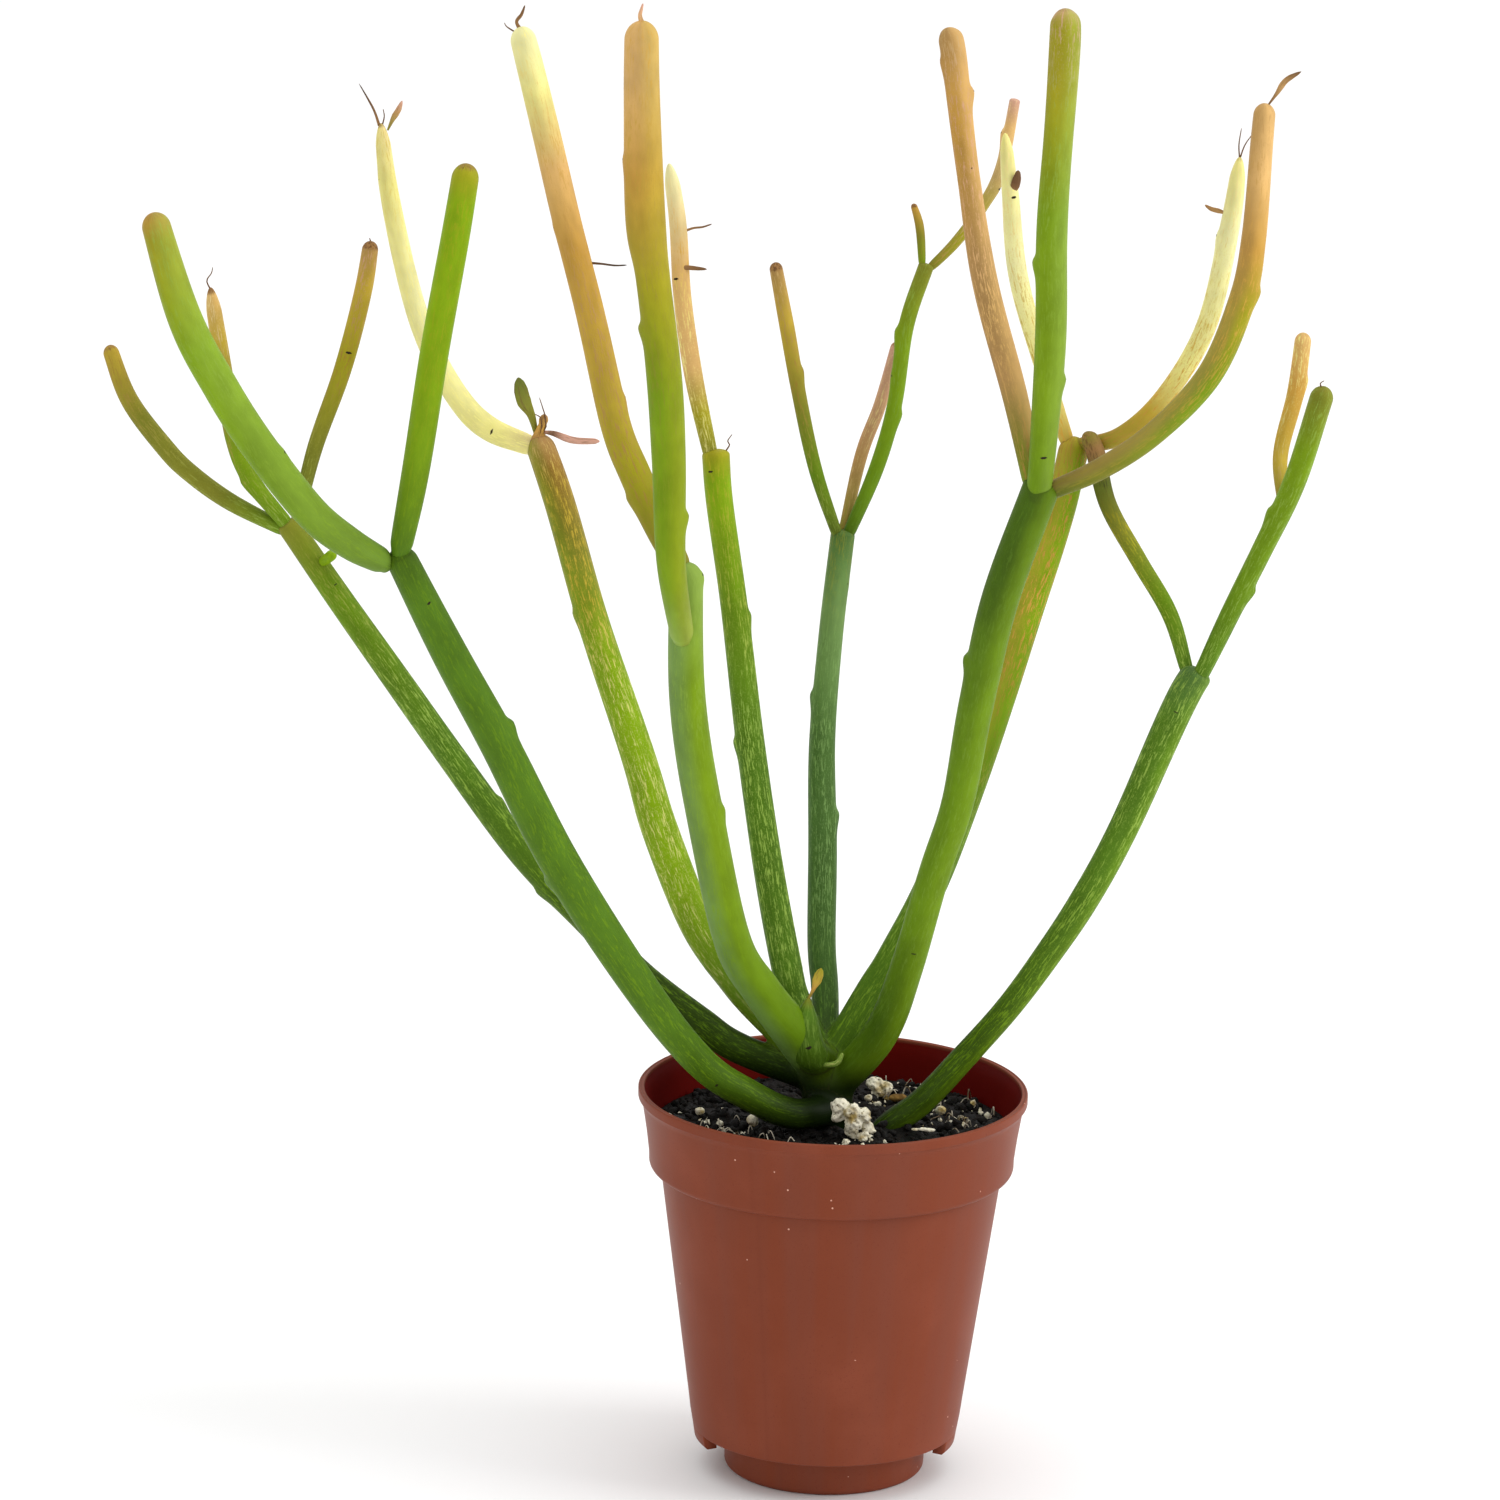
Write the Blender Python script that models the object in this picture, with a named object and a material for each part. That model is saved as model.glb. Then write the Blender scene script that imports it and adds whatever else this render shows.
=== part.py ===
"""A pencil euphorbia in a thin moulded nursery pot, as separate closed solids.

Frame: metres, +Z up, the front towards -Y, the origin at the centre of the pot's foot, on its
underside. Sizes are in millimetres and meet the mesh through MM. The stems sit round a swollen
crown, each branch sits on the end or the side of what carries it, and every route is counted
from that seat, so a stem that moves takes its branches and leaves with it.
"""

import math
from dataclasses import dataclass

import bmesh
import bpy
import numpy as np
from mathutils import Matrix, Vector

MM = 0.001
GAP = 0.3  # between two pieces that touch

# The pot.
RIM_RADIUS = 30.0
POT_HEIGHT = 61.0
WALL = 0.8
LIP_HEIGHT = 1.5
LIP_OVERHANG = 0.7
LIP_CURL = 1.0
BAND_HEIGHT = 10.9
SHOULDER_RADIUS = 1.8
DRAFT = 0.138  # how far a wall leans out for each unit of height
LEDGE_HEIGHT = 8.2
FOOT_RADIUS = 15.5
FOOT_CORNER = 1.0
FOOT_FLARE = 0.3
POT_FACETS = 64
LUG_DROP = 3.0
LUG_INSET = 0.05
LUG_ROUND = 0.3
LUG_FACETS = (2, 5)  # first and last facet line of the lug nearest to +X
LEDGE_HOLE_RADIUS = 1.6
FLOOR_HOLE_RADIUS = 1.5
FLOOR_HOLE_CIRCLE = 8.0
HOLE_SIDES = 16

# The soil.
HEADSPACE = 6.0
SOIL_FACETS = 32

# The plant.
CROWN_PLACE = (-1.5, 4.0)
CROWN_RISE = 7.5  # the crown's centre above the soil
CROWN_RADIUS = 6.6
TRUNK_RADIUS = 4.4
TRUNK_BURIED = 12.0
TRUNK_FOOT_SHARE = 0.8  # the trunk's flat foot over its full radius
CROWN_FACETS = 24
STEM_RADIUS = 2.4
BRANCH_RADIUS = 1.6
NECK_SHARE = 0.55  # a foot's radius over the radius it grows to
NECK_LENGTH = 5.0
TIP_LENGTH = 3.0
FIRST_STEP = 1.5  # how far a growth runs straight off its seat
BRANCH_OFFSET = 0.6  # a seat's distance from the axis, over the end's radius
POINT_SPACING = 8.0
STEM_SIDES = 10
BRANCH_SIDES = 8
ROOTED_STEM_PLACE = (8.3, 0.0)
ROOTED_STEM_BURIED = (-3.2, -0.5, -3.6)
ROOTED_STEM_NECK = 0.8
POCKET_CLEARANCE = 0.9

# Radii over the full one, from the last points but one on, for each kind of tip.
TIPS = {"flat": (), "round": (0.82, 0.45), "pointed": (0.85, 0.55, 0.25)}
# A blade's half width along its length, both as shares.
BLADE = ((0, 0.35), (0.2, 0.75), (0.5, 1.0), (0.8, 0.8), (1.0, 0.3))
LUMP_ROUGHNESS = (0.84, 1.0)

# Colours, as sRGB hex, and roughness.
FINISHES = {
    "pot_plastic": ("8F4A38", 0.45),
    "peat": ("2A1C17", 0.95),
    "perlite": ("E6DFC8", 0.9),
    "bark": ("7A5A34", 0.9),
    "deep_green": ("3F6B1E", 0.5),
    "blue_green": ("55794A", 0.5),
    "leaf_green": ("6F9A1B", 0.5),
    "yellow_green": ("9DB321", 0.5),
    "olive": ("8C8A33", 0.55),
    "gold": ("C9A24A", 0.55),
    "pale_yellow": ("EFE58E", 0.55),
    "fire_orange": ("CF9A50", 0.55),
    "copper": ("B07C50", 0.6),
    "dry_pink": ("B98A78", 0.7),
    "dry_brown": ("8A6A48", 0.75),
}


@dataclass(frozen=True)
class Stem:
    """A stem that sits on the crown. heading and route are counted from the crown's centre."""

    name: str
    heading: tuple
    route: tuple
    girths: tuple  # foot, middle and top, as shares of STEM_RADIUS
    finish: str
    tip: str = "flat"
    neck: float = NECK_SHARE


@dataclass(frozen=True)
class Branch:
    """A branch on the end of its carrier, or below millimetres under that end, on its side.

    Its route is counted from the carrier's end. side says which way its seat is off the axis.
    """

    name: str
    carrier: str
    side: tuple
    route: tuple
    girths: tuple  # foot, middle and top, as shares of BRANCH_RADIUS
    finish: str
    tip: str = "round"
    below: float = 0.0


@dataclass(frozen=True)
class Leaf:
    """A small leaf, bract or bristle, below millimetres under its carrier's end."""

    name: str
    carrier: str
    below: float
    heading: tuple
    length: float
    width: float
    finish: str
    curl: float = 0.0
    thickness: float = 0.4


@dataclass(frozen=True)
class Lump:
    """A lump of perlite or bark that lies on the soil."""

    name: str
    place: tuple
    size: tuple
    seed: int
    finish: str = "perlite"


STEMS = (
    Stem("stem_left_front", (-0.42, -0.8, -0.43),
         ((-7, -10, -3.5), (-12, -14, 0.5), (-19, -18, 6.5), (-28, -24, 19.5),
          (-40.5, -31, 41), (-49.5, -36, 60), (-57, -39, 74.5), (-63.5, -42, 88)),
         (0.95, 1.2, 1.02), "deep_green"),
    Stem("stem_left_back", (-0.98, 0.15, 0.05),
         ((-13, 1, 3), (-19, 1, 7), (-28.5, 2, 14), (-36.5, 3, 22),
          (-47.5, 5, 33), (-60, 8, 49), (-74.5, 11, 68.5), (-84.5, 14, 82)),
         (0.97, 0.93, 0.78), "deep_green"),
    Stem("stem_left_upright", (-0.78, 0.1, 0.62),
         ((-10, 2.3, 8.8), (-14, 3, 13.5), (-20, 4, 22), (-26, 5, 36.5),
          (-29.5, 6, 47.5), (-36.5, 8, 69), (-42, 10, 87), (-45.5, 11, 95.5)),
         (1.0, 1.08, 0.95), "yellow_green"),
    Stem("stem_front", (-0.4, -0.75, 0.53),
         ((-6, -9, 10), (-10, -13, 16.5), (-14.5, -17, 25.5), (-18.5, -24, 46),
          (-21.5, -31, 66.5), (-22, -39, 89)),
         (1.17, 1.15, 0.98), "leaf_green"),
    Stem("stem_back_left", (-0.35, 0.4, 0.85),
         ((-4.5, 4, 10), (-6, 4.5, 15), (-9.5, 6, 32), (-12.5, 8, 50.5),
          (-15.5, 10, 72), (-18, 12, 87), (-18.5, 13, 95)),
         (0.97, 0.93, 0.85), "leaf_green"),
    Stem("stem_back", (0.12, 0.8, 0.59),
         ((0, 9, 10), (-0.5, 11, 18), (-0.5, 14, 33), (-1, 17, 48.5),
          (0, 20, 63.5), (1.5, 23, 80.5)),
         (0.9, 0.83, 0.75), "blue_green"),
    Stem("stem_right_front", (0.65, -0.46, 0.6),
         ((8.5, -6, 9), (12, -10, 19.5), (16, -16, 37), (19, -20, 49),
          (21, -26, 66), (23.5, -31, 82.5), (29.5, -37, 102.5)),
         (1.08, 1.05, 1.1), "leaf_green"),
    Stem("stem_right_back", (0.5, 0.42, 0.76),
         ((7, 4.5, 11.5), (10.5, 5, 17.5), (17.5, 6, 32.5), (25.5, 8, 57.5),
          (30, 10, 73), (34.5, 12, 88.5), (36, 14, 98)),
         (0.97, 1.03, 0.9), "yellow_green"),
    Stem("young_shoot", (-0.15, -0.35, 0.92),
         ((-2.2, -3.6, 9.5), (-2.5, -4, 13)),
         (0.6, 0.55, 0.42), "leaf_green", tip="round", neck=0.85),
    Stem("crown_bud", (0.2, -0.75, 0.63),
         ((2.6, -5.9, 6.1), (3.4, -6.3, 6.9)),
         (0.38, 0.36, 0.3), "leaf_green", tip="round", neck=0.85),
)

# This stem has a root of its own. Its route is counted from where it leaves the soil.
ROOTED_STEM = Stem("stem_far_right", (0, 0, 0),
                   ((5.5, 1, 4), (11.5, 2, 10.5), (18, 2, 18.5), (24, 3, 27), (29.5, 3, 36),
                    (35, 4, 47), (43, 5, 66.5), (46, 5, 72.5)),
                   (0.85, 0.93, 0.98), "deep_green")

BRANCHES = (
    Branch("branch_left_front_low", "stem_left_front", (-1, -0.3, 0),
           ((-8, -5, 5), (-13.5, -9, 11), (-20.5, -14, 21), (-26, -17, 30),
            (-31, -20, 40.5), (-35.5, -23, 56.5)),
           (1.35, 1.55, 1.3), "leaf_green"),
    Branch("branch_left_front_high", "stem_left_front", (1, 0.3, 0),
           ((1.5, -2, 14), (4, -3, 32), (6.5, -3, 50), (7.5, -3, 61)),
           (1.15, 1.27, 1.2), "yellow_green"),
    Branch("branch_left_back_low", "stem_left_back", (-1, 0, -0.6),
           ((-8, 2.5, 1), (-14.5, 4.5, 4.5), (-19, 5.5, 8.6), (-24.8, 7, 16), (-28, 8, 25)),
           (0.8, 0.9, 0.75), "olive"),
    Branch("branch_left_back_middle", "stem_left_back", (-0.3, -1, 0.4),
           ((-5.5, -1, 5.5), (-8.6, 0, 12), (-10.2, 0, 21.5), (-12, 0, 36)),
           (0.8, 0.88, 0.75), "gold", tip="pointed"),
    Branch("branch_left_back_high", "stem_left_back", (1, 0.6, 0.4),
           ((4, 5, 10), (8, 8, 22), (11, 10, 34), (12, 11, 41.5)),
           (0.7, 0.82, 0.8), "olive"),
    Branch("branch_left_upright", "stem_left_upright", (-1, 0.3, 0),
           ((-8, 3, 1.8), (-14, 5, 7.5), (-20, 8, 20), (-23.5, 10, 35.5), (-25.5, 11, 47)),
           (1.1, 1.05, 0.8), "pale_yellow", tip="pointed"),
    Branch("branch_front_low", "stem_front", (-0.2, -1, -0.3),
           ((-2.2, -9, 2.5), (-2.5, -12, 18.5), (-4, -14, 30.5), (-5.5, -15.5, 45.5),
            (-6.5, -17, 54.5), (-7.5, -18.5, 72), (-7.5, -19, 83.5)),
           (1.2, 1.75, 1.45), "fire_orange", below=11.5),
    Branch("branch_front_high", "stem_front", (-1, 1, 0),
           ((-4.5, 2.5, 5.5), (-8, 4, 12.5), (-11, 6, 20), (-15.5, 9, 37.5),
            (-19.5, 11, 52), (-24, 13, 69.5), (-26, 14, 76.5)),
           (1.3, 1.3, 1.15), "fire_orange"),
    Branch("branch_back_left", "stem_back_left", (-1, 0, 0),
           ((-3.5, 2, 10.5), (-5.5, 4, 22.5), (-6.5, 5, 34), (-8, 6, 43)),
           (0.8, 0.83, 0.75), "gold", tip="pointed"),
    Branch("branch_back_low", "stem_back", (-1, -0.5, 0),
           ((-4.5, -3, 10), (-7.5, -6, 23), (-9.5, -8, 33.5), (-11.5, -9, 43.5)),
           (0.6, 0.66, 0.68), "olive"),
    Branch("branch_back_high", "stem_back", (1, -0.3, 0),
           ((5, 2.5, 9.5), (7.5, 4.5, 19), (9, 6.5, 31), (12, 8.5, 40.5)),
           (0.7, 0.74, 0.76), "leaf_green", tip="flat"),
    Branch("branch_back_middle", "stem_back", (-0.1, 1, 0),
           ((2.5, 7, 10), (5.2, 9.5, 18), (7.4, 11, 27.5)),
           (0.55, 0.62, 0.6), "copper"),
    Branch("twig_back_left", "branch_back_high", (-1, 0, 0),
           ((-1.3, 0, 5.5), (-2.2, 0, 9)),
           (0.42, 0.42, 0.35), "olive"),
    Branch("twig_back_right", "branch_back_high", (1, 0.3, 0),
           ((4.5, 2, 3.2), (8.5, 4, 8.5), (11, 5, 14.5), (12.5, 6, 24.5)),
           (0.48, 0.56, 0.5), "copper"),
    Branch("branch_right_front_low", "stem_right_front", (-0.8, 0.6, 0),
           ((-4.5, 2, 11.5), (-9.5, 3.5, 29), (-12.5, 4.5, 44), (-15, 5.5, 61), (-16, 6, 65)),
           (1.1, 1.12, 1.08), "copper"),
    Branch("branch_right_front_high", "stem_right_front", (-0.1, -1, 0),
           ((0, -7, 19.5), (-0.5, -10, 37.5), (0, -12, 52.5), (0.5, -14, 67.5), (0.5, -14, 71.5)),
           (1.25, 1.35, 1.3), "leaf_green", tip="pointed"),
    Branch("branch_right_front_side", "stem_right_front", (1, 0.3, 0),
           ((8, -1.5, 3), (16, -2, 8), (24, -1, 16.5), (28, 0, 27.5),
            (29.5, 1, 36.5), (30, 3, 50.5), (30.5, 3, 55.5)),
           (0.95, 1.2, 1.05), "fire_orange"),
    Branch("branch_right_back_low", "stem_right_back", (-1, 0.2, 0),
           ((-6, 2, 12.5), (-9.5, 4, 24.5), (-11, 6, 36.5), (-12, 7, 45.5)),
           (0.8, 0.88, 0.6), "pale_yellow", tip="pointed"),
    Branch("branch_right_back_high", "stem_right_back", (1, -0.3, 0),
           ((7.5, -2, -3.2), (14.2, -4, 4.5), (19.8, -7, 18), (22.8, -9, 34.5), (23.8, -10, 45.5)),
           (0.8, 0.93, 0.8), "pale_yellow", tip="pointed", below=4.5),
    Branch("branch_far_right_low", "stem_far_right", (-1, 0.5, 0),
           ((-4.5, 3, 7), (-10, 6, 15), (-15, 8, 23.5), (-17, 9, 32.5)),
           (0.7, 0.8, 0.75), "olive"),
    Branch("branch_far_right_high", "stem_far_right", (1, -0.5, 0),
           ((3.5, -2, 7.5), (8.5, -5, 20), (13, -8, 32), (16.5, -11, 46.5)),
           (0.8, 1.0, 1.05), "leaf_green"),
    Branch("twig_far_right", "branch_far_right_high", (-0.5, 1, 0),
           ((-5.5, 11.5, -13), (-3.4, 14.5, -4), (-2.4, 16, 5)),
           (0.5, 0.75, 0.75), "fire_orange", below=20.5),
    Branch("stem_bud", "stem_left_back", (0.5, -0.8, 0.3),
           ((7.3, -4.6, -4.2), (7.6, -4.9, -3.6)),
           (0.55, 0.55, 0.5), "leaf_green", below=8.5),
)

LEAVES = (
    Leaf("leaf_young_shoot", "young_shoot", 0, (0.3, -0.1, 0.95), 5.0, 1.4, "gold", 0.6),
    Leaf("leaf_paddle", "stem_left_upright", 0, (-0.3, -0.3, 0.9), 7.4, 2.2, "leaf_green", -0.5),
    Leaf("leaf_long_pink", "stem_left_upright", 2.0, (0.98, -0.1, -0.1), 7.6, 1.0, "dry_pink", -0.6),
    Leaf("leaf_dry_tuft", "stem_left_upright", 0.8, (0.5, -0.3, 0.75), 3.8, 0.9, "dry_brown", 0.4),
    Leaf("bristle_left_upright", "branch_left_upright", 0, (-0.5, 0, 0.87), 5.8, 0.5, "dry_pink"),
    Leaf("leaf_left_upright_tip", "branch_left_upright", 3.0, (0.45, -0.1, 0.85), 4.6, 1.1, "dry_pink", 0.4),
    Leaf("leaf_front_high_tip", "branch_front_high", 0, (0.1, 0, 1), 3.4, 0.7, "dry_brown", 0.5),
    Leaf("bristle_front_high", "branch_front_high", 36.0, (1, 0, 0.1), 5.2, 0.6, "dry_pink"),
    Leaf("leaf_front_low_tip", "branch_front_low", 0, (0, 0, 1), 2.8, 0.7, "dry_pink"),
    Leaf("bristle_back_left", "branch_back_left", 10.5, (0.95, 0, 0.3), 4.1, 0.5, "dry_brown", -0.4),
    Leaf("leaf_back_left", "branch_back_left", 16.0, (1, -0.4, 0.1), 3.6, 0.7, "dry_brown"),
    Leaf("leaf_right_front_tip", "branch_right_front_side", 0, (0.6, 0, 0.8), 5.9, 0.9, "dry_pink", -0.6),
    Leaf("leaf_right_back", "branch_right_back_high", 9.0, (-0.95, -0.1, 0.35), 3.1, 0.8, "dry_brown"),
    Leaf("bract_right_back", "branch_right_back_low", 8.0, (0.5, -0.7, 0.6), 3.3, 1.5, "bark"),
)

LUMPS = (
    Lump("perlite_front", (3.0, -6.4), (6.8, 4.6, 6.0), 3),
    Lump("perlite_back", (7.2, 15.5), (3.4, 2.8, 2.6), 5),
    Lump("perlite_crumb", (5.6, 11.2), (1.9, 1.8, 1.7), 8),
    Lump("perlite_flake", (13.9, -4.4), (4.6, 2.4, 1.4), 11),
    Lump("perlite_right", (16.8, 5.6), (2.2, 2.0, 1.7), 13),
    Lump("perlite_left", (-12.3, -2.6), (2.6, 2.3, 2.2), 17),
    Lump("perlite_far_left", (-20.5, 2.5), (2.2, 2.0, 1.6), 19),
    Lump("bark_chip", (10.2, 11.6), (3.2, 2.4, 1.8), 23, "bark"),
)


# ---- Helpers --------------------------------------------------------------------------------


def linear(channel):
    """One sRGB channel, 0 to 255, as linear light."""
    share = channel / 255
    return share / 12.92 if share <= 0.04045 else ((share + 0.055) / 1.055) ** 2.4


def finish_material(name):
    """The material of that name in FINISHES, made the first time it is asked for."""
    if name in bpy.data.materials:
        return bpy.data.materials[name]
    code, roughness = FINISHES[name]
    colour = [linear(int(code[start:start + 2], 16)) for start in (0, 2, 4)]
    material = bpy.data.materials.new(name)
    material.use_nodes = True
    shader = material.node_tree.nodes["Principled BSDF"]
    shader.inputs["Base Color"].default_value = (*colour, 1)
    shader.inputs["Roughness"].default_value = roughness
    shader.inputs["Metallic"].default_value = 0
    return material


def clear_scene():
    for thing in list(bpy.data.objects):
        bpy.data.objects.remove(thing, do_unlink=True)


def add_object(name, data, finish=None):
    """An object in the scene. One with no finish is a cutter, which isn't part of the model."""
    thing = bpy.data.objects.new(name, data)
    bpy.context.scene.collection.objects.link(thing)
    if finish:
        data.materials.append(finish_material(finish))
    else:
        thing.hide_render = True
        thing.display_type = "WIRE"
    return thing


def mesh_from(shape, name):
    """The bmesh as a mesh with its faces pointing out, shaded smooth but for its sharp edges."""
    bmesh.ops.recalc_face_normals(shape, faces=shape.faces)
    mesh = bpy.data.meshes.new(name)
    shape.to_mesh(mesh)
    shape.free()
    mesh.shade_smooth()
    mesh.set_sharp_from_angle(angle=math.radians(35))
    return mesh


def turned(name, outline, facets):
    """The solid that an outline of (radius, height) makes round the Z axis. Its ends are on it."""
    shape = bmesh.new()
    corners = [shape.verts.new((radius * MM, 0, height * MM)) for radius, height in outline]
    edges = [shape.edges.new(pair) for pair in zip(corners, corners[1:])]
    bmesh.ops.spin(shape, geom=corners + edges, cent=(0, 0, 0), axis=(0, 0, 1),
                   angle=math.tau, steps=facets, use_merge=True)
    bmesh.ops.remove_doubles(shape, verts=shape.verts, dist=1e-6)
    return mesh_from(shape, name)


def add_cylinder(shape, start, end, radius, sides):
    """Adds a closed cylinder from start to end, in millimetres, to the bmesh."""
    start, end = Vector(start) * MM, Vector(end) * MM
    along = end - start
    place = Matrix.Translation((start + end) / 2) @ along.to_track_quat("Z", "Y").to_matrix().to_4x4()
    bmesh.ops.create_cone(shape, cap_ends=True, segments=sides, radius1=radius * MM,
                          radius2=radius * MM, depth=along.length, matrix=place)


def cut_or_join(thing, other, operation):
    modifier = thing.modifiers.new(operation.title(), "BOOLEAN")
    modifier.operation = operation
    modifier.object = other


def arc(centre, radius, start, end, steps):
    """Points on an arc in the outline's plane, with the angles in degrees."""
    angles = np.radians(np.linspace(start, end, steps + 1))
    return [(centre[0] + radius * math.cos(a), centre[1] + radius * math.sin(a)) for a in angles]


def unit(vector):
    vector = np.asarray(vector, float)
    return vector / np.linalg.norm(vector)


def across(vector, axis):
    """The unit vector nearest to vector that is square to axis."""
    return unit(np.asarray(vector, float) - np.dot(vector, axis) * axis)


# ---- The pot and the soil -------------------------------------------------------------------


def band_radius():
    """The band's outer radius at its foot, where the shoulder starts."""
    return RIM_RADIUS - LIP_OVERHANG - DRAFT * (BAND_HEIGHT - LIP_HEIGHT - LIP_CURL)


def body_radius(height):
    """The body's outer radius at a height between the ledge and the shoulder."""
    shoulder = POT_HEIGHT - BAND_HEIGHT - SHOULDER_RADIUS
    return band_radius() - SHOULDER_RADIUS - DRAFT * (shoulder - height)


def pot_outside():
    """The pot's outer outline, from the foot's centre to the top of the lip."""
    band_foot = POT_HEIGHT - BAND_HEIGHT
    corner = arc((FOOT_RADIUS - FOOT_CORNER, FOOT_CORNER), FOOT_CORNER, -90, 0, 3)
    shoulder = arc((band_radius() - SHOULDER_RADIUS, band_foot), SHOULDER_RADIUS, -90, 0, 4)
    return [
        (0, 0),
        *corner,
        (FOOT_RADIUS + FOOT_FLARE, LEDGE_HEIGHT),
        (body_radius(LEDGE_HEIGHT), LEDGE_HEIGHT),
        *shoulder,
        (RIM_RADIUS - LIP_OVERHANG, POT_HEIGHT - LIP_HEIGHT - LIP_CURL),
        (RIM_RADIUS, POT_HEIGHT - LIP_HEIGHT),
        (RIM_RADIUS, POT_HEIGHT),
    ]


def pot_inside():
    """The pot's inner outline, from the floor's centre to the top of the lip."""
    band_foot = POT_HEIGHT - BAND_HEIGHT
    step = band_radius() - SHOULDER_RADIUS
    ledge = LEDGE_HEIGHT + WALL
    shoulder = arc((step, band_foot), SHOULDER_RADIUS - WALL, -90, 0, 2)
    return [
        (0, WALL),
        (FOOT_RADIUS - WALL, WALL),
        (FOOT_RADIUS + FOOT_FLARE - WALL, ledge),
        (body_radius(ledge) - WALL, ledge),
        (step - WALL, band_foot - SHOULDER_RADIUS),
        *shoulder,
        (RIM_RADIUS - LIP_OVERHANG - WALL, POT_HEIGHT - LIP_HEIGHT - LIP_CURL),
        (RIM_RADIUS - LIP_OVERHANG - WALL, POT_HEIGHT),
    ]


def lug_mesh():
    """The four teeth of the wall that reach below the ledge, as separate closed blocks."""
    low = LEDGE_HEIGHT - LUG_DROP
    high = LEDGE_HEIGHT + WALL / 2
    outer = [body_radius(z) - LUG_INSET for z in (low, low + LUG_ROUND, high)]
    section = [
        (outer[0] - LUG_ROUND, low),
        (outer[1], low + LUG_ROUND),
        (outer[2], high),
        (outer[2] - WALL, high),
        (outer[0] - WALL, low),
    ]
    first, last = LUG_FACETS
    half_turn = POT_FACETS // 2
    starts = (first, half_turn - last, half_turn + first, -last)
    shape = bmesh.new()
    for start in starts:
        rings = []
        for facet in range(start, start + last - first + 1):
            angle = math.tau * facet / POT_FACETS
            rings.append([shape.verts.new((r * MM * math.cos(angle), r * MM * math.sin(angle), z * MM))
                          for r, z in section])
        for ring, following in zip(rings, rings[1:]):
            for corner in range(len(section)):
                after = (corner + 1) % len(section)
                shape.faces.new((ring[corner], ring[after], following[after], following[corner]))
        shape.faces.new(rings[0])
        shape.faces.new(rings[-1])
    return mesh_from(shape, "lugs")


def drain_mesh():
    """Cutters for the holes: four through the ledge and three through the foot's floor."""
    shape = bmesh.new()
    middle = (FOOT_RADIUS + FOOT_FLARE + body_radius(LEDGE_HEIGHT)) / 2
    for turn in (0.25, 0.75, 0.0, 0.5):
        x, y = middle * math.cos(math.tau * turn), middle * math.sin(math.tau * turn)
        add_cylinder(shape, (x, y, LEDGE_HEIGHT - WALL), (x, y, LEDGE_HEIGHT + 2 * WALL),
                     LEDGE_HOLE_RADIUS, HOLE_SIDES)
    for turn in range(3):
        angle = math.tau * turn / 3 + math.pi / 2
        x, y = FLOOR_HOLE_CIRCLE * math.cos(angle), FLOOR_HOLE_CIRCLE * math.sin(angle)
        add_cylinder(shape, (x, y, -WALL), (x, y, 2 * WALL), FLOOR_HOLE_RADIUS, HOLE_SIDES)
    return mesh_from(shape, "drains")


def build_pot():
    """A thin tapered pot with a wide band under its lip, on a foot that stands in from the wall."""
    outline = pot_outside() + pot_inside()[::-1]
    pot = add_object("pot", turned("pot", outline, POT_FACETS), "pot_plastic")
    cut_or_join(pot, add_object("lugs", lug_mesh()), "UNION")
    cut_or_join(pot, add_object("drains", drain_mesh()), "DIFFERENCE")


def soil_top():
    return POT_HEIGHT - HEADSPACE


def soil_outline():
    """The pot's inner outline up to the soil's surface, drawn in by the gap."""
    top = soil_top()
    inside = pot_inside()
    below = [(radius, height) for radius, height in inside if height < top - GAP]
    (low_radius, low_height), (high_radius, high_height) = below[-1], inside[len(below)]
    share = (top - low_height) / (high_height - low_height)
    edge = low_radius + (high_radius - low_radius) * share - GAP
    walls = [(radius - GAP, height + GAP) for radius, height in below[1:]]
    return [(0, WALL + GAP), *walls, (edge, top), (0, top)]


def rooted_start():
    """Where the rooted stem leaves the soil, and its buried foot, in millimetres."""
    start = np.array([*ROOTED_STEM_PLACE, soil_top()])
    return start, start + np.array(ROOTED_STEM_BURIED)


def build_soil():
    """The soil, with a pocket round the trunk and one round the rooted stem."""
    soil = add_object("soil", turned("soil", soil_outline(), SOIL_FACETS), "peat")
    shape = bmesh.new()
    x, y = CROWN_PLACE
    add_cylinder(shape, (x, y, soil_top() - TRUNK_BURIED - GAP), (x, y, soil_top() + 1),
                 TRUNK_RADIUS + GAP, CROWN_FACETS)
    start, foot = rooted_start()
    along = unit(start - foot)
    radius = STEM_RADIUS * ROOTED_STEM.girths[0] + POCKET_CLEARANCE
    add_cylinder(shape, foot - along * POCKET_CLEARANCE, start + along * 2 * radius, radius, HOLE_SIDES)
    pockets = add_object("soil_pockets", mesh_from(shape, "soil_pockets"))
    cut_or_join(soil, pockets, "DIFFERENCE")


# ---- The plant ------------------------------------------------------------------------------


def crown_centre():
    return np.array([*CROWN_PLACE, soil_top() + CROWN_RISE])


def build_crown():
    """The trunk's buried stalk with the round swelling that all the stems but one spring from."""
    low = -CROWN_RISE - TRUNK_BURIED
    joint = math.degrees(math.asin(TRUNK_RADIUS / CROWN_RADIUS)) - 90
    ball = arc((0, 0), CROWN_RADIUS, joint, 90, 12)
    outline = [(0, low), (TRUNK_RADIUS * TRUNK_FOOT_SHARE, low), (TRUNK_RADIUS, low + 1), *ball[:-1],
               (0, CROWN_RADIUS)]
    crown = add_object("crown", turned("crown", outline, CROWN_FACETS), "deep_green")
    crown.location = Vector(crown_centre()) * MM


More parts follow.
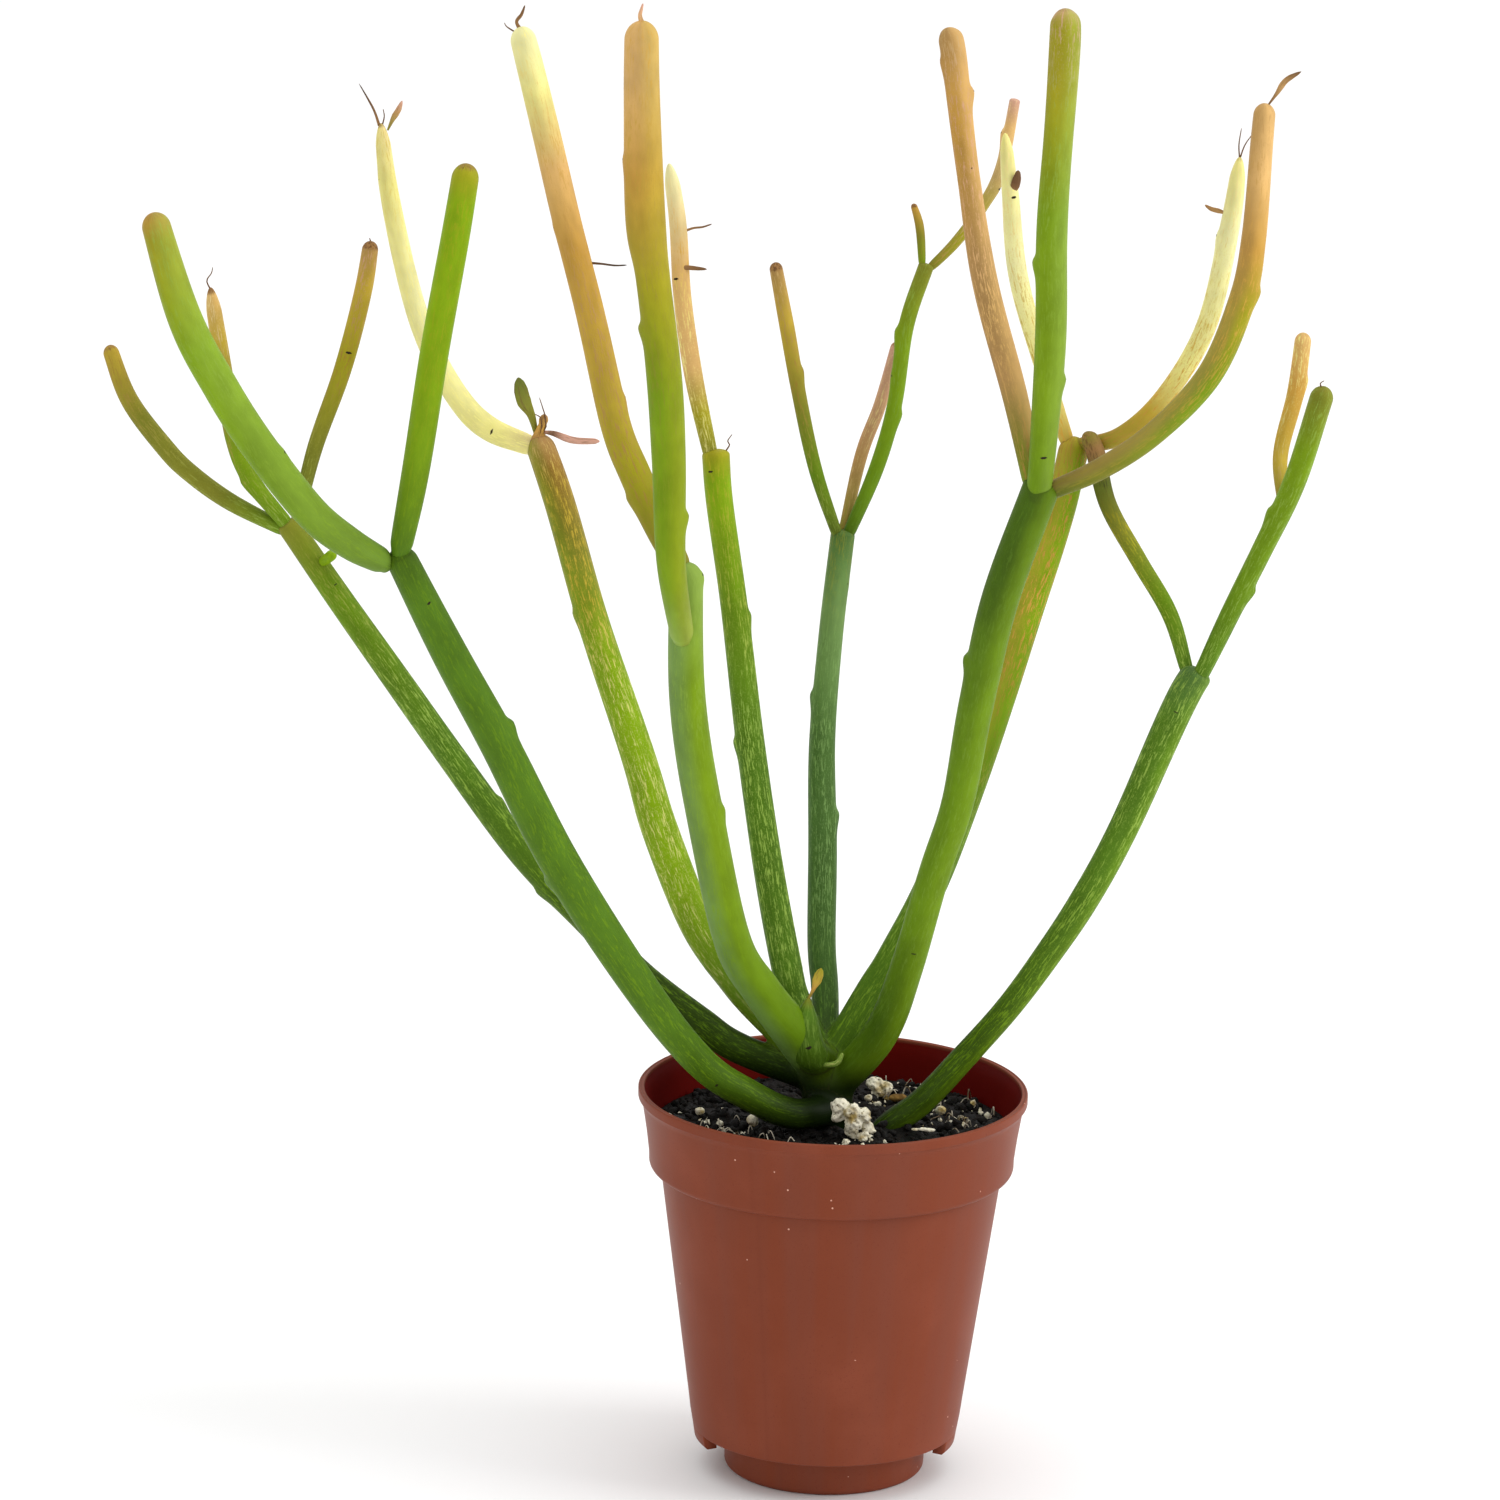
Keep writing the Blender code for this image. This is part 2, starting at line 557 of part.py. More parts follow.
class Growth:
    """A smooth run from a seat through a route, with its radius at each point, in millimetres."""

    def __init__(self, controls, girths, radius, tip, neck):
        self.points, self.lengths = sampled(smooth_line(controls))
        self.radii = grown_radii(self.lengths, [girth * radius for girth in girths], tip, neck)

    def end(self):
        """The last point, the direction there and the radius."""
        return self.points[-1], unit(self.points[-1] - self.points[-2]), self.radii[-1]

    def below(self, distance):
        """The point that far under the end, the direction there and the radius."""
        wanted = self.lengths[-1] - distance
        point = np.array([np.interp(wanted, self.lengths, self.points[:, k]) for k in range(3)])
        place = min(max(int(np.searchsorted(self.lengths, wanted)), 1), len(self.lengths) - 1)
        along = unit(self.points[place] - self.points[place - 1])
        return point, along, float(np.interp(wanted, self.lengths, self.radii))


def smooth_line(controls):
    """A Catmull-Rom curve through the controls, sixteen steps to a span."""
    controls = np.asarray(controls, float)
    first, last = 2 * controls[0] - controls[1], 2 * controls[-1] - controls[-2]
    padded = np.vstack([first, controls, last])
    share = np.linspace(0, 1, 16, endpoint=False)[:, None]
    spans = []
    for a, b, c, d in zip(padded, padded[1:], padded[2:], padded[3:]):
        spans.append(b + share / 2 * (c - a + share * (2 * a - 5 * b + 4 * c - d
                                                       + share * (3 * (b - c) + d - a))))
    return np.vstack([*spans, controls[-1:]])


def sampled(line):
    """Points along the line, closer together near its two ends, with their arc lengths."""
    steps = np.linalg.norm(np.diff(line, axis=0), axis=1)
    travelled = np.concatenate([[0], np.cumsum(steps)])
    total = travelled[-1]
    neck, end = min(NECK_LENGTH, total / 3), min(TIP_LENGTH, total / 3)
    middle = np.linspace(neck, total - end, max(2, round((total - neck - end) / POINT_SPACING) + 1))
    lengths = np.concatenate([[0, neck / 2], middle, [total - end / 3, total]])
    points = np.stack([np.interp(lengths, travelled, line[:, k]) for k in range(3)], axis=1)
    return points, lengths


def grown_radii(lengths, radii, tip, neck):
    """Radii along a growth: a narrow neck, then foot, middle and top, then the tip's own shape."""
    total = lengths[-1]
    widths = np.interp(lengths / total, (0, 0.5, 1), radii)
    neck_end = min(NECK_LENGTH, total / 3)
    widths *= np.interp(lengths, (0, neck_end), (neck, 1))
    shares = TIPS[tip]
    widths[len(widths) - len(shares):] *= shares
    return widths


def add_tube(name, growth, finish, sides):
    """A closed tube along a growth, as a poly curve with a bevel and filled caps."""
    curve = bpy.data.curves.new(name, "CURVE")
    curve.dimensions = "3D"
    curve.bevel_depth = MM
    curve.bevel_resolution = (sides - 4) // 2
    curve.use_fill_caps = True
    spline = curve.splines.new("POLY")
    spline.points.add(len(growth.points) - 1)
    for knot, point, radius in zip(spline.points, growth.points, growth.radii):
        knot.co = (*(point * MM), 1)
        knot.radius = radius
    spline.use_smooth = True
    return add_object(name, curve, finish)


def build_stems():
    """Each stem on its own patch of the crown, and the one with its own root in the soil."""
    centre = crown_centre()
    growths = {}
    for stem in STEMS:
        heading = unit(stem.heading)
        seat = centre + heading * (CROWN_RADIUS + GAP)
        step = min(FIRST_STEP, np.linalg.norm(centre + stem.route[0] - seat) / 3)
        controls = [seat, seat + heading * step, *(centre + np.array(stem.route))]
        growths[stem.name] = Growth(controls, stem.girths, STEM_RADIUS, stem.tip, stem.neck)
        add_tube(stem.name, growths[stem.name], stem.finish, STEM_SIDES)
    start, foot = rooted_start()
    controls = [foot, start, *(start + np.array(ROOTED_STEM.route))]
    rooted = Growth(controls, ROOTED_STEM.girths, STEM_RADIUS, "flat", ROOTED_STEM_NECK)
    growths[ROOTED_STEM.name] = rooted
    add_tube(ROOTED_STEM.name, rooted, ROOTED_STEM.finish, STEM_SIDES)
    return growths


def branch_seat(branch, carrier):
    """The centre of the branch's foot and its first direction.

    On an end, the foot stands over the flat cap, off its centre. On a side, it stands clear of
    the carrier's skin. Either way its rim comes no nearer than the gap.
    """
    end, along, end_radius = carrier.end()
    first = end + np.array(branch.route[0])
    foot_radius = branch.girths[0] * BRANCH_RADIUS * NECK_SHARE
    if branch.below:
        point, along, radius = carrier.below(branch.below)
        side = across(branch.side, along)
        heading = unit(first - point - side * radius)
        lean = math.sqrt(max(0.0, 1 - np.dot(heading, side) ** 2))
        return point + side * (radius + GAP + foot_radius * lean), heading
    offset = across(branch.side, along) * end_radius * BRANCH_OFFSET
    heading = unit(first - end - offset)
    lean = math.sqrt(max(0.0, 1 - np.dot(heading, along) ** 2))
    return end + offset + along * (GAP + foot_radius * lean), heading


def build_branches(growths):
    """Each branch on its carrier, in the order of the list, carriers first."""
    for branch in BRANCHES:
        carrier = growths[branch.carrier]
        seat, heading = branch_seat(branch, carrier)
        route = carrier.end()[0] + np.array(branch.route)
        step = min(FIRST_STEP, np.linalg.norm(route[0] - seat) / 3)
        controls = [seat, seat + heading * step, *route]
        growths[branch.name] = Growth(controls, branch.girths, BRANCH_RADIUS, branch.tip, NECK_SHARE)
        add_tube(branch.name, growths[branch.name], branch.finish, BRANCH_SIDES)


def build_leaves(growths):
    """Each leaf as a flattened, curled blade that stands a gap off its carrier."""
    for leaf in LEAVES:
        carrier = growths[leaf.carrier]
        heading = unit(leaf.heading)
        if leaf.below:
            point, along, radius = carrier.below(leaf.below)
            outward = across(heading, along)
        else:
            point, outward, radius = carrier.end()
            radius = 0
        stalk = BLADE[0][1] * leaf.width / 2
        lean = math.sqrt(max(0.0, 1 - np.dot(heading, outward) ** 2))
        base = point + outward * (radius + GAP + stalk * lean)
        flat = min(1.0, leaf.thickness / leaf.width)
        curve = bpy.data.curves.new(leaf.name, "CURVE")
        curve.dimensions = "3D"
        curve.bevel_depth = MM
        curve.bevel_resolution = 1
        curve.use_fill_caps = True
        spline = curve.splines.new("POLY")
        spline.points.add(len(BLADE) - 1)
        for knot, (share, width) in zip(spline.points, BLADE):
            knot.co = (leaf.length * share * MM, 0, leaf.curl * share ** 2 / flat * MM, 1)
            knot.radius = width * leaf.width / 2
        blade = add_object(leaf.name, curve, leaf.finish)
        face = across((0, -1, 0.2), heading)
        turn = Matrix((heading, np.cross(face, heading), face)).transposed().to_4x4()
        blade.matrix_world = (Matrix.Translation(Vector(base) * MM) @ turn
                              @ Matrix.Diagonal((1, 1, flat, 1)))


def build_lumps():
    """Each lump as a rough ball that rests a gap above the soil."""
    for lump in LUMPS:
        rng = np.random.default_rng(lump.seed)
        shape = bmesh.new()
        bmesh.ops.create_icosphere(shape, subdivisions=2, radius=0.5)
        for vert in shape.verts:
            vert.co *= rng.uniform(*LUMP_ROUGHNESS)
            vert.co = Vector(a * b * MM for a, b in zip(vert.co, lump.size))
        lowest = min(vert.co.z for vert in shape.verts)
        rest = Vector((*lump.place, soil_top() + GAP)) * MM
        rest.z -= lowest
        bmesh.ops.translate(shape, verts=shape.verts, vec=rest)
        add_object(lump.name, mesh_from(shape, lump.name), lump.finish)


def main():
    clear_scene()
    build_pot()
    build_soil()
    build_crown()
    growths = build_stems()
    build_branches(growths)
    build_leaves(growths)
    build_lumps()


main()
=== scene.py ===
"""A pencil euphorbia in a moulded nursery pot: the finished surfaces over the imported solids.

Frame: metres, +Z up, the front towards -Y, the origin under the pot's foot. Sizes are in
millimetres and meet the meshes through MM. Every growth is a tube along a smooth run of points,
the crown is one blended skin over the feet of all of them, and the soil is a rough bed with
crumbs, fibres and grains of perlite on it.
"""

import logging
import math
from dataclasses import dataclass, field
from enum import Enum
from typing import Callable, Optional

import bpy
import numpy as np
from mathutils import Matrix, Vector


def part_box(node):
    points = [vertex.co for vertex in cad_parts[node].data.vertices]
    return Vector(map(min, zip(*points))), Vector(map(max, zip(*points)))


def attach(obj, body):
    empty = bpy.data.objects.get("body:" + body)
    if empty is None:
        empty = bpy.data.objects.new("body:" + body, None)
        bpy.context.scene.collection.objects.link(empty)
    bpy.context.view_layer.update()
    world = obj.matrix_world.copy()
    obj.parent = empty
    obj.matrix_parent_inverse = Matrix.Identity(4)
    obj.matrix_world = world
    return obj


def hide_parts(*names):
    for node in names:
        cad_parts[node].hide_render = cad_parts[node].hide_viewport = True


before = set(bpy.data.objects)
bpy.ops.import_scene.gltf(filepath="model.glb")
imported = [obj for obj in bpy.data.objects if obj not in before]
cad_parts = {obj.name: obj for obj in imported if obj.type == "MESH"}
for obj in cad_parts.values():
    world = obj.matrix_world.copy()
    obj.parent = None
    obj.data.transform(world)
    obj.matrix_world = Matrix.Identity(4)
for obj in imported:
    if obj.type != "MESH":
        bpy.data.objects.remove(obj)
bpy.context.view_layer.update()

MM = 0.001
BODY = "root"
log = logging.getLogger("euphorbia")


# ---- Colours --------------------------------------------------------------------------------


class Hue(Enum):
    """The plant's colours, as sRGB hex, from the shaded foot to the sunburnt tips."""

    # Painted shade: the near-black green that stands in for the shadow under the crown and at the soil.
    PITH = "101C06"
    DARK_MOSS = "33480E"
    MOSS = "486612"
    FERN = "567C1C"
    LEAF = "6C8F14"
    GRASS = "7E9E14"
    LIME = "8CB010"
    PALE_LEAF = "93B04C"
    SAGE = "557838"
    PALE_SAGE = "789A56"
    OLIVE = "85862A"
    DARK_OLIVE = "5F6A22"
    MUSTARD = "A8A022"
    GOLD = "C6A93C"
    AMBER = "CF9F46"
    PEACH = "E2B672"
    SAND = "F0DCA0"
    CREAM = "F3EA92"
    IVORY = "FAF6B6"
    COPPER = "B78F58"
    TAN = "C2A468"
    RUST = "9A7430"
    ROSE = "D2A18C"
    CORK = "9C7446"
    BARK = "6A4A2C"
    SOOT = "2A2118"


def linear(code: str) -> np.ndarray:
    """Turns an sRGB hex colour into linear light.

    Args:
        code: Six hex digits.

    Returns:
        Red, green and blue in linear light.
    """
    share = np.array([int(code[start:start + 2], 16) for start in (0, 2, 4)]) / 255
    return np.where(share <= 0.04045, share / 12.92, ((share + 0.055) / 1.055) ** 2.4)


def rgba(code: str) -> tuple[float, ...]:
    """The hex colour as an opaque linear colour for a socket."""
    return (*linear(code), 1.0)


def read_stops(text: str) -> list:
    """Reads colour stops along a growth, such as "0 MOSS 0.4, 1 FERN 0.5".

    Args:
        text: For each stop its share of the length, its Hue and, for flecks, their strength.

    Returns:
        For each stop a list of the same.
    """
    rows = [stop.split() for stop in text.split(",")]
    return [[float(share), Hue[name], *map(float, rest)] for share, name, *rest in rows]


def blend_hues(shares: np.ndarray, text: str) -> np.ndarray:
    """Colours along a growth, straight lines in linear light between the stops.

    Args:
        shares: Places along the growth, 0 to 1.
        text: The stops, as read_stops takes them, in order.

    Returns:
        One linear colour for each share.
    """
    stops = read_stops(text)
    return columns_at(shares, [stop[0] for stop in stops],
                      np.array([linear(stop[1].value) for stop in stops]))


# ---- Numbers --------------------------------------------------------------------------------


def unit(vectors: np.ndarray) -> np.ndarray:
    """Vectors scaled to length one."""
    vectors = np.asarray(vectors, float)
    return vectors / np.maximum(np.linalg.norm(vectors, axis=-1, keepdims=True), 1e-12)


def columns_at(places: np.ndarray, known: np.ndarray, table: np.ndarray) -> np.ndarray:
    """Every column of a table, by straight lines between the known places."""
    return np.stack([np.interp(places, known, column) for column in table.T], axis=-1)


def turned(radius: np.ndarray, angle: np.ndarray, height: np.ndarray) -> np.ndarray:
    """The points (r cos a, r sin a, z)."""
    return np.stack(np.broadcast_arrays(radius * np.cos(angle), radius * np.sin(angle), height), axis=-1)


def smooth_step(value: np.ndarray, low: float, high: float) -> np.ndarray:
    """0 under low, 1 over high, and the cubic 3t^2 - 2t^3 between them."""
    share = np.clip((value - low) / (high - low), 0, 1)
    return share * share * (3 - 2 * share)


def lattice_noise(points: np.ndarray, cell: float, seed: int) -> np.ndarray:
    """Smooth noise from -1 to 1.

    Each corner of a lattice holds a random number, and a point takes the cubic blend of the
    eight corners round it.

    Args:
        points: Places, in millimetres.
        cell: The lattice's step, in millimetres.
        seed: Picks the random numbers.

    Returns:
        One number for each point.
    """
    rng = np.random.default_rng(seed)
    table = rng.permutation(256)
    values = rng.uniform(-1, 1, 256)
    scaled = np.asarray(points, float) / cell
    corner = np.floor(scaled).astype(int)
    part = scaled - corner
    part = part * part * (3 - 2 * part)
    total = np.zeros(scaled.shape[:-1])
    for step in np.ndindex(2, 2, 2):
        place = (corner + step) % 256
        index = table[(table[(table[place[..., 0]] + place[..., 1]) % 256] + place[..., 2]) % 256]
        weight = np.prod(np.where(np.array(step, bool), part, 1 - part), axis=-1)
        total += weight * values[index]
    return total


def rough_noise(points: np.ndarray, cell: float, seed: int, octaves: int = 3) -> np.ndarray:
    """Noise on noise: each octave is half as coarse and half as strong as the one before."""
    return sum(lattice_noise(points, cell / 2 ** k, seed + k) / 2 ** k for k in range(octaves))


def smooth_line(controls: np.ndarray, per_span: int = 24) -> np.ndarray:
    """A Catmull-Rom run through the controls: a cubic in each span, whose slope at a control is
    half the step between its neighbours. It carries any number of columns."""
    controls = np.asarray(controls, float)
    first, last = 2 * controls[0] - controls[1], 2 * controls[-1] - controls[-2]
    padded = np.vstack([first, controls, last])
    a, b, c, d = (padded[k:len(padded) - 3 + k, None, :] for k in range(4))
    share = np.linspace(0, 1, per_span, endpoint=False)[None, :, None]
    run = b + share / 2 * (c - a + share * (2 * a - 5 * b + 4 * c - d + share * (3 * (b - c) + d - a)))
    return np.vstack([run.reshape(-1, controls.shape[1]), controls[-1:]])


def smooth_least(first: np.ndarray, second: np.ndarray, reach: float) -> np.ndarray:
    """The smaller of two fields, rounded where they are nearer than reach: min - h^2 reach / 4
    with h the overlap's share of reach."""
    share = np.maximum(reach - np.abs(first - second), 0) / reach
    return np.minimum(first, second) - share * share * reach / 4


def surface_net(field_values: np.ndarray, low: np.ndarray, step: float) -> tuple:
    """The surface where a sampled field is zero, as quads.

    Each cell that the surface passes through gets one vertex, at the mean of the places where
    the surface cuts its edges. Each lattice edge that is cut joins its four cells in a quad.

    Args:
        field_values: The field on a lattice, negative inside.
        low: The lattice's lowest corner, in millimetres.
        step: The lattice's step, in millimetres.

    Returns:
        The vertices, in millimetres, and the quads.
    """
    inside = field_values < 0
    shape = np.array(field_values.shape) - 1
    total = np.zeros((*shape, 3))
    count = np.zeros(shape)
    for axis in range(3):
        near = np.take(field_values, range(shape[axis]), axis)
        far = np.take(field_values, range(1, shape[axis] + 1), axis)
        cut = (near < 0) != (far < 0)
        share = np.where(cut, near / np.where(cut, near - far, 1), 0)
        others = [k for k in range(3) if k != axis]
        for offset in np.ndindex(2, 2):
            window = [slice(None)] * 3
            for other, start in zip(others, offset):
                window[other] = slice(start, start + shape[other])
            hit, part = cut[tuple(window)], share[tuple(window)]
            count += hit
            total[..., axis] += hit * part
            for other, start in zip(others, offset):
                total[..., other] += hit * start
    cells = np.argwhere(count > 0)
    number = np.full(shape, -1)
    number[tuple(cells.T)] = np.arange(len(cells))
    vertices = low + step * (cells + total[tuple(cells.T)] / count[tuple(cells.T)][:, None])
    quads = []
    for axis in range(3):
        first, second = (axis + 1) % 3, (axis + 2) % 3
        near = np.take(inside, range(shape[axis]), axis)
        far = np.take(inside, range(1, shape[axis] + 1), axis)
        edges = np.argwhere(near != far)
        edges = edges[(edges[:, first] > 0) & (edges[:, second] > 0)
                      & (edges[:, first] < shape[first]) & (edges[:, second] < shape[second])]
        corners = []
        for back, down in ((0, 0), (1, 0), (1, 1), (0, 1)):
            cell = edges.copy()
            cell[:, first] -= back
            cell[:, second] -= down
            corners.append(number[tuple(cell.T)])
        ring = np.stack(corners, axis=1)
        leaving = near[tuple(edges.T)]
        quads.append(np.where(leaving[:, None], ring, ring[:, ::-1]))
    return vertices, np.vstack(quads)


def zero_surface(field_of: Callable, low: np.ndarray, high: np.ndarray, step: float) -> tuple:
    """The surface where a field is zero inside a box, closed by a border that counts as outside.

    Args:
        field_of: Gives the field's numbers at an array of points.
        low: The box's lowest corner, in millimetres.
        high: Its highest corner.
        step: The lattice's step.

    Returns:
        The vertices and the quads.
    """
    axes = [np.arange(first, last, step) for first, last in zip(low, high)]
    lattice = np.stack(np.meshgrid(*axes, indexing="ij"), axis=-1)
    total = field_of(lattice.reshape(-1, 3)).reshape(lattice.shape[:3])
    total[[0, -1]] = total[:, [0, -1]] = total[:, :, [0, -1]] = 1.0
    return surface_net(total, low, step)


def around_once(count: int) -> np.ndarray:
    """Angles at even steps once round, from 0."""
    return np.linspace(0, 2 * math.pi, count, endpoint=False)


# ---- Meshes ---------------------------------------------------------------------------------


def add_piece(name: str, points: np.ndarray, faces: list, slot: str, nodes: tuple = (),
              attributes: Optional[dict] = None) -> bpy.types.Object:
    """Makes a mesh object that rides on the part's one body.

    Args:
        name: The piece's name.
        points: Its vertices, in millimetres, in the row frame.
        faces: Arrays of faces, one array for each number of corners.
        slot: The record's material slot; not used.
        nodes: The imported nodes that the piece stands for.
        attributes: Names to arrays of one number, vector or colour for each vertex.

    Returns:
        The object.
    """
    mesh = bpy.data.meshes.new(name)
    corners = [face for group in faces for face in group.tolist()]
    mesh.from_pydata(np.asarray(points) * MM, [], corners)
    mesh.update()
    mesh.shade_smooth()
    for title, values in (attributes or {}).items():
        values = np.asarray(values, float)
        kind, prop = {1: ("FLOAT", "value"), 3: ("FLOAT_VECTOR", "vector"),
                      4: ("FLOAT_COLOR", "color")}[1 if values.ndim == 1 else values.shape[1]]
        layer = mesh.attributes.new(title, kind, "POINT")
        layer.data.foreach_set(prop, values.ravel().astype(np.float32))
    piece = bpy.data.objects.new(name, mesh)
    bpy.context.scene.collection.objects.link(piece)
    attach(piece, BODY)
    if nodes:
        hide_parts(*nodes)
    log.info("%s: %d faces", name, len(corners))
    return piece


def ring_faces(rings: int, sides: int, start: int = 0) -> np.ndarray:
    """Quads between closed rings of vertices that follow each other, facing outwards where the
    rings run anticlockwise seen from the last one."""
    row = np.arange(rings - 1)[:, None] * sides + start
    side = np.arange(sides)[None, :]
    after = (side + 1) % sides
    quads = np.stack([row + side, row + after, row + sides + after, row + sides + side], axis=-1)
    return quads.reshape(-1, 4)


def pole_faces(ring_start: int, sides: int, pole: int, last: bool) -> np.ndarray:
    """Triangles from a ring to one vertex, at the last or at the first end of a tube."""
    side = np.arange(sides)
    after = (side + 1) % sides
    pair = (ring_start + side, ring_start + after) if last else (ring_start + after, ring_start + side)
    return np.stack([*pair, np.full(sides, pole)], axis=-1)


def closed_tube(rings: np.ndarray, first: np.ndarray, last: np.ndarray) -> tuple:
    """A closed tube from its rings and its two poles.

    Args:
        rings: Vertices as (ring, side, 3).
        first: The pole before the first ring.
        last: The pole after the last ring.

    Returns:
        The vertices and the lists of faces.
    """
    count, sides = rings.shape[:2]
    points = np.vstack([rings.reshape(-1, 3), first, last])
    total = count * sides
    fans = np.vstack([pole_faces(0, sides, total, False),
                      pole_faces(total - sides, sides, total + 1, True)])
    return points, [ring_faces(count, sides), fans]


def join_tubes(tubes: list) -> tuple:
    """Many closed tubes as one mesh: all their vertices, all their quads and all their fans."""
    starts = np.cumsum([0] + [len(points) for points, _ in tubes])
    faces = [np.vstack([tube[1][kind] + start for tube, start in zip(tubes, starts)]) for kind in (0, 1)]
    return np.vstack([points for points, _ in tubes]), faces


# ---- Materials ------------------------------------------------------------------------------


def add_node(tree: bpy.types.NodeTree, kind: str, settings: dict) -> bpy.types.Node:
    """Adds a node to a tree, sets it up and wires its inputs.

    Args:
        tree: The tree.
        kind: The shader node's type, without that prefix.
        settings: Names of properties, or names or numbers of inputs, to their values or to the
            output sockets that feed them.

    Returns:
        The node.
    """
    node = tree.nodes.new(f"ShaderNode{kind}")
    for key, value in settings.items():
        if isinstance(value, bpy.types.NodeSocket):
            tree.links.new(value, node.inputs[key])
        elif isinstance(key, str) and hasattr(node, key) and key not in node.inputs:
            setattr(node, key, value)
        else:
            node.inputs[key].default_value = value
    return node


def new_material(name: str, roughness: float, ior: float = 1.45, gloss: float = 0.3) -> tuple:
    """An empty dielectric finish: its material, its tree and its shader. Gloss is under the usual
    0.5 for a surface whose fine relief traps part of what it mirrors."""
    material = bpy.data.materials.new(name)
    material.use_nodes = True
    shader = material.node_tree.nodes["Principled BSDF"]
    shader.inputs["Roughness"].default_value = roughness
    shader.inputs["IOR"].default_value = ior
    shader.inputs["Metallic"].default_value = 0.0
    shader.inputs["Specular IOR Level"].default_value = gloss
    return material, material.node_tree, shader


def object_grains(tree: bpy.types.NodeTree, *grains: tuple) -> list:
    """Patterns of grain laid through the piece on Object coordinates.

    Args:
        tree: The tree.
        grains: For each pattern its cell in millimetres and its detail.

    Returns:
        The coordinates' socket, then one socket for each pattern.
    """
    place = add_node(tree, "TexCoord", {}).outputs["Object"]
    noises = [add_node(tree, "TexNoise", {"Scale": 1 / (cell * MM), "Detail": detail, "Vector": place})
              for cell, detail in grains]
    return [place, *(noise.outputs["Fac"] for noise in noises)]


def lay_coats(tree: bpy.types.NodeTree, base: object, *coats: tuple) -> bpy.types.NodeSocket:
    """Lays colours over a base one after another, each where its pattern is high.

    Args:
        tree: The tree.
        base: The undermost colour, as hex digits or a socket.
        coats: For each coat its pattern, the two values between which the coat fades in (None
            and None where the pattern is its share already), and its colour as the base's is.

    Returns:
        The socket of the colour on top.
    """
    hues = (base, *(coat[3] for coat in coats))
    colour, *colours = (rgba(hue) if isinstance(hue, str) else hue for hue in hues)
    for (share, low, high, _), coat in zip(coats, colours):
        if low is not None:
            share = add_node(tree, "MapRange", {
                "interpolation_type": "SMOOTHSTEP", 0: share, 1: low, 2: high}).outputs[0]
        colour = add_node(tree, "Mix", {"data_type": "RGBA", 0: share, 6: colour, 7: coat}).outputs[2]
    return colour


def wire_surface(tree: bpy.types.NodeTree, shader: bpy.types.Node, colour: bpy.types.NodeSocket,
                 height: bpy.types.NodeSocket, strength: float, depth: float) -> None:
    """Wires a colour and a fine relief, whose depth is in millimetres, to the shader."""
    bump = add_node(tree, "Bump", {"Strength": strength, "Distance": depth * MM, "Height": height})
    tree.links.new(colour, shader.inputs["Base Color"])
    tree.links.new(bump.outputs[0], shader.inputs["Normal"])


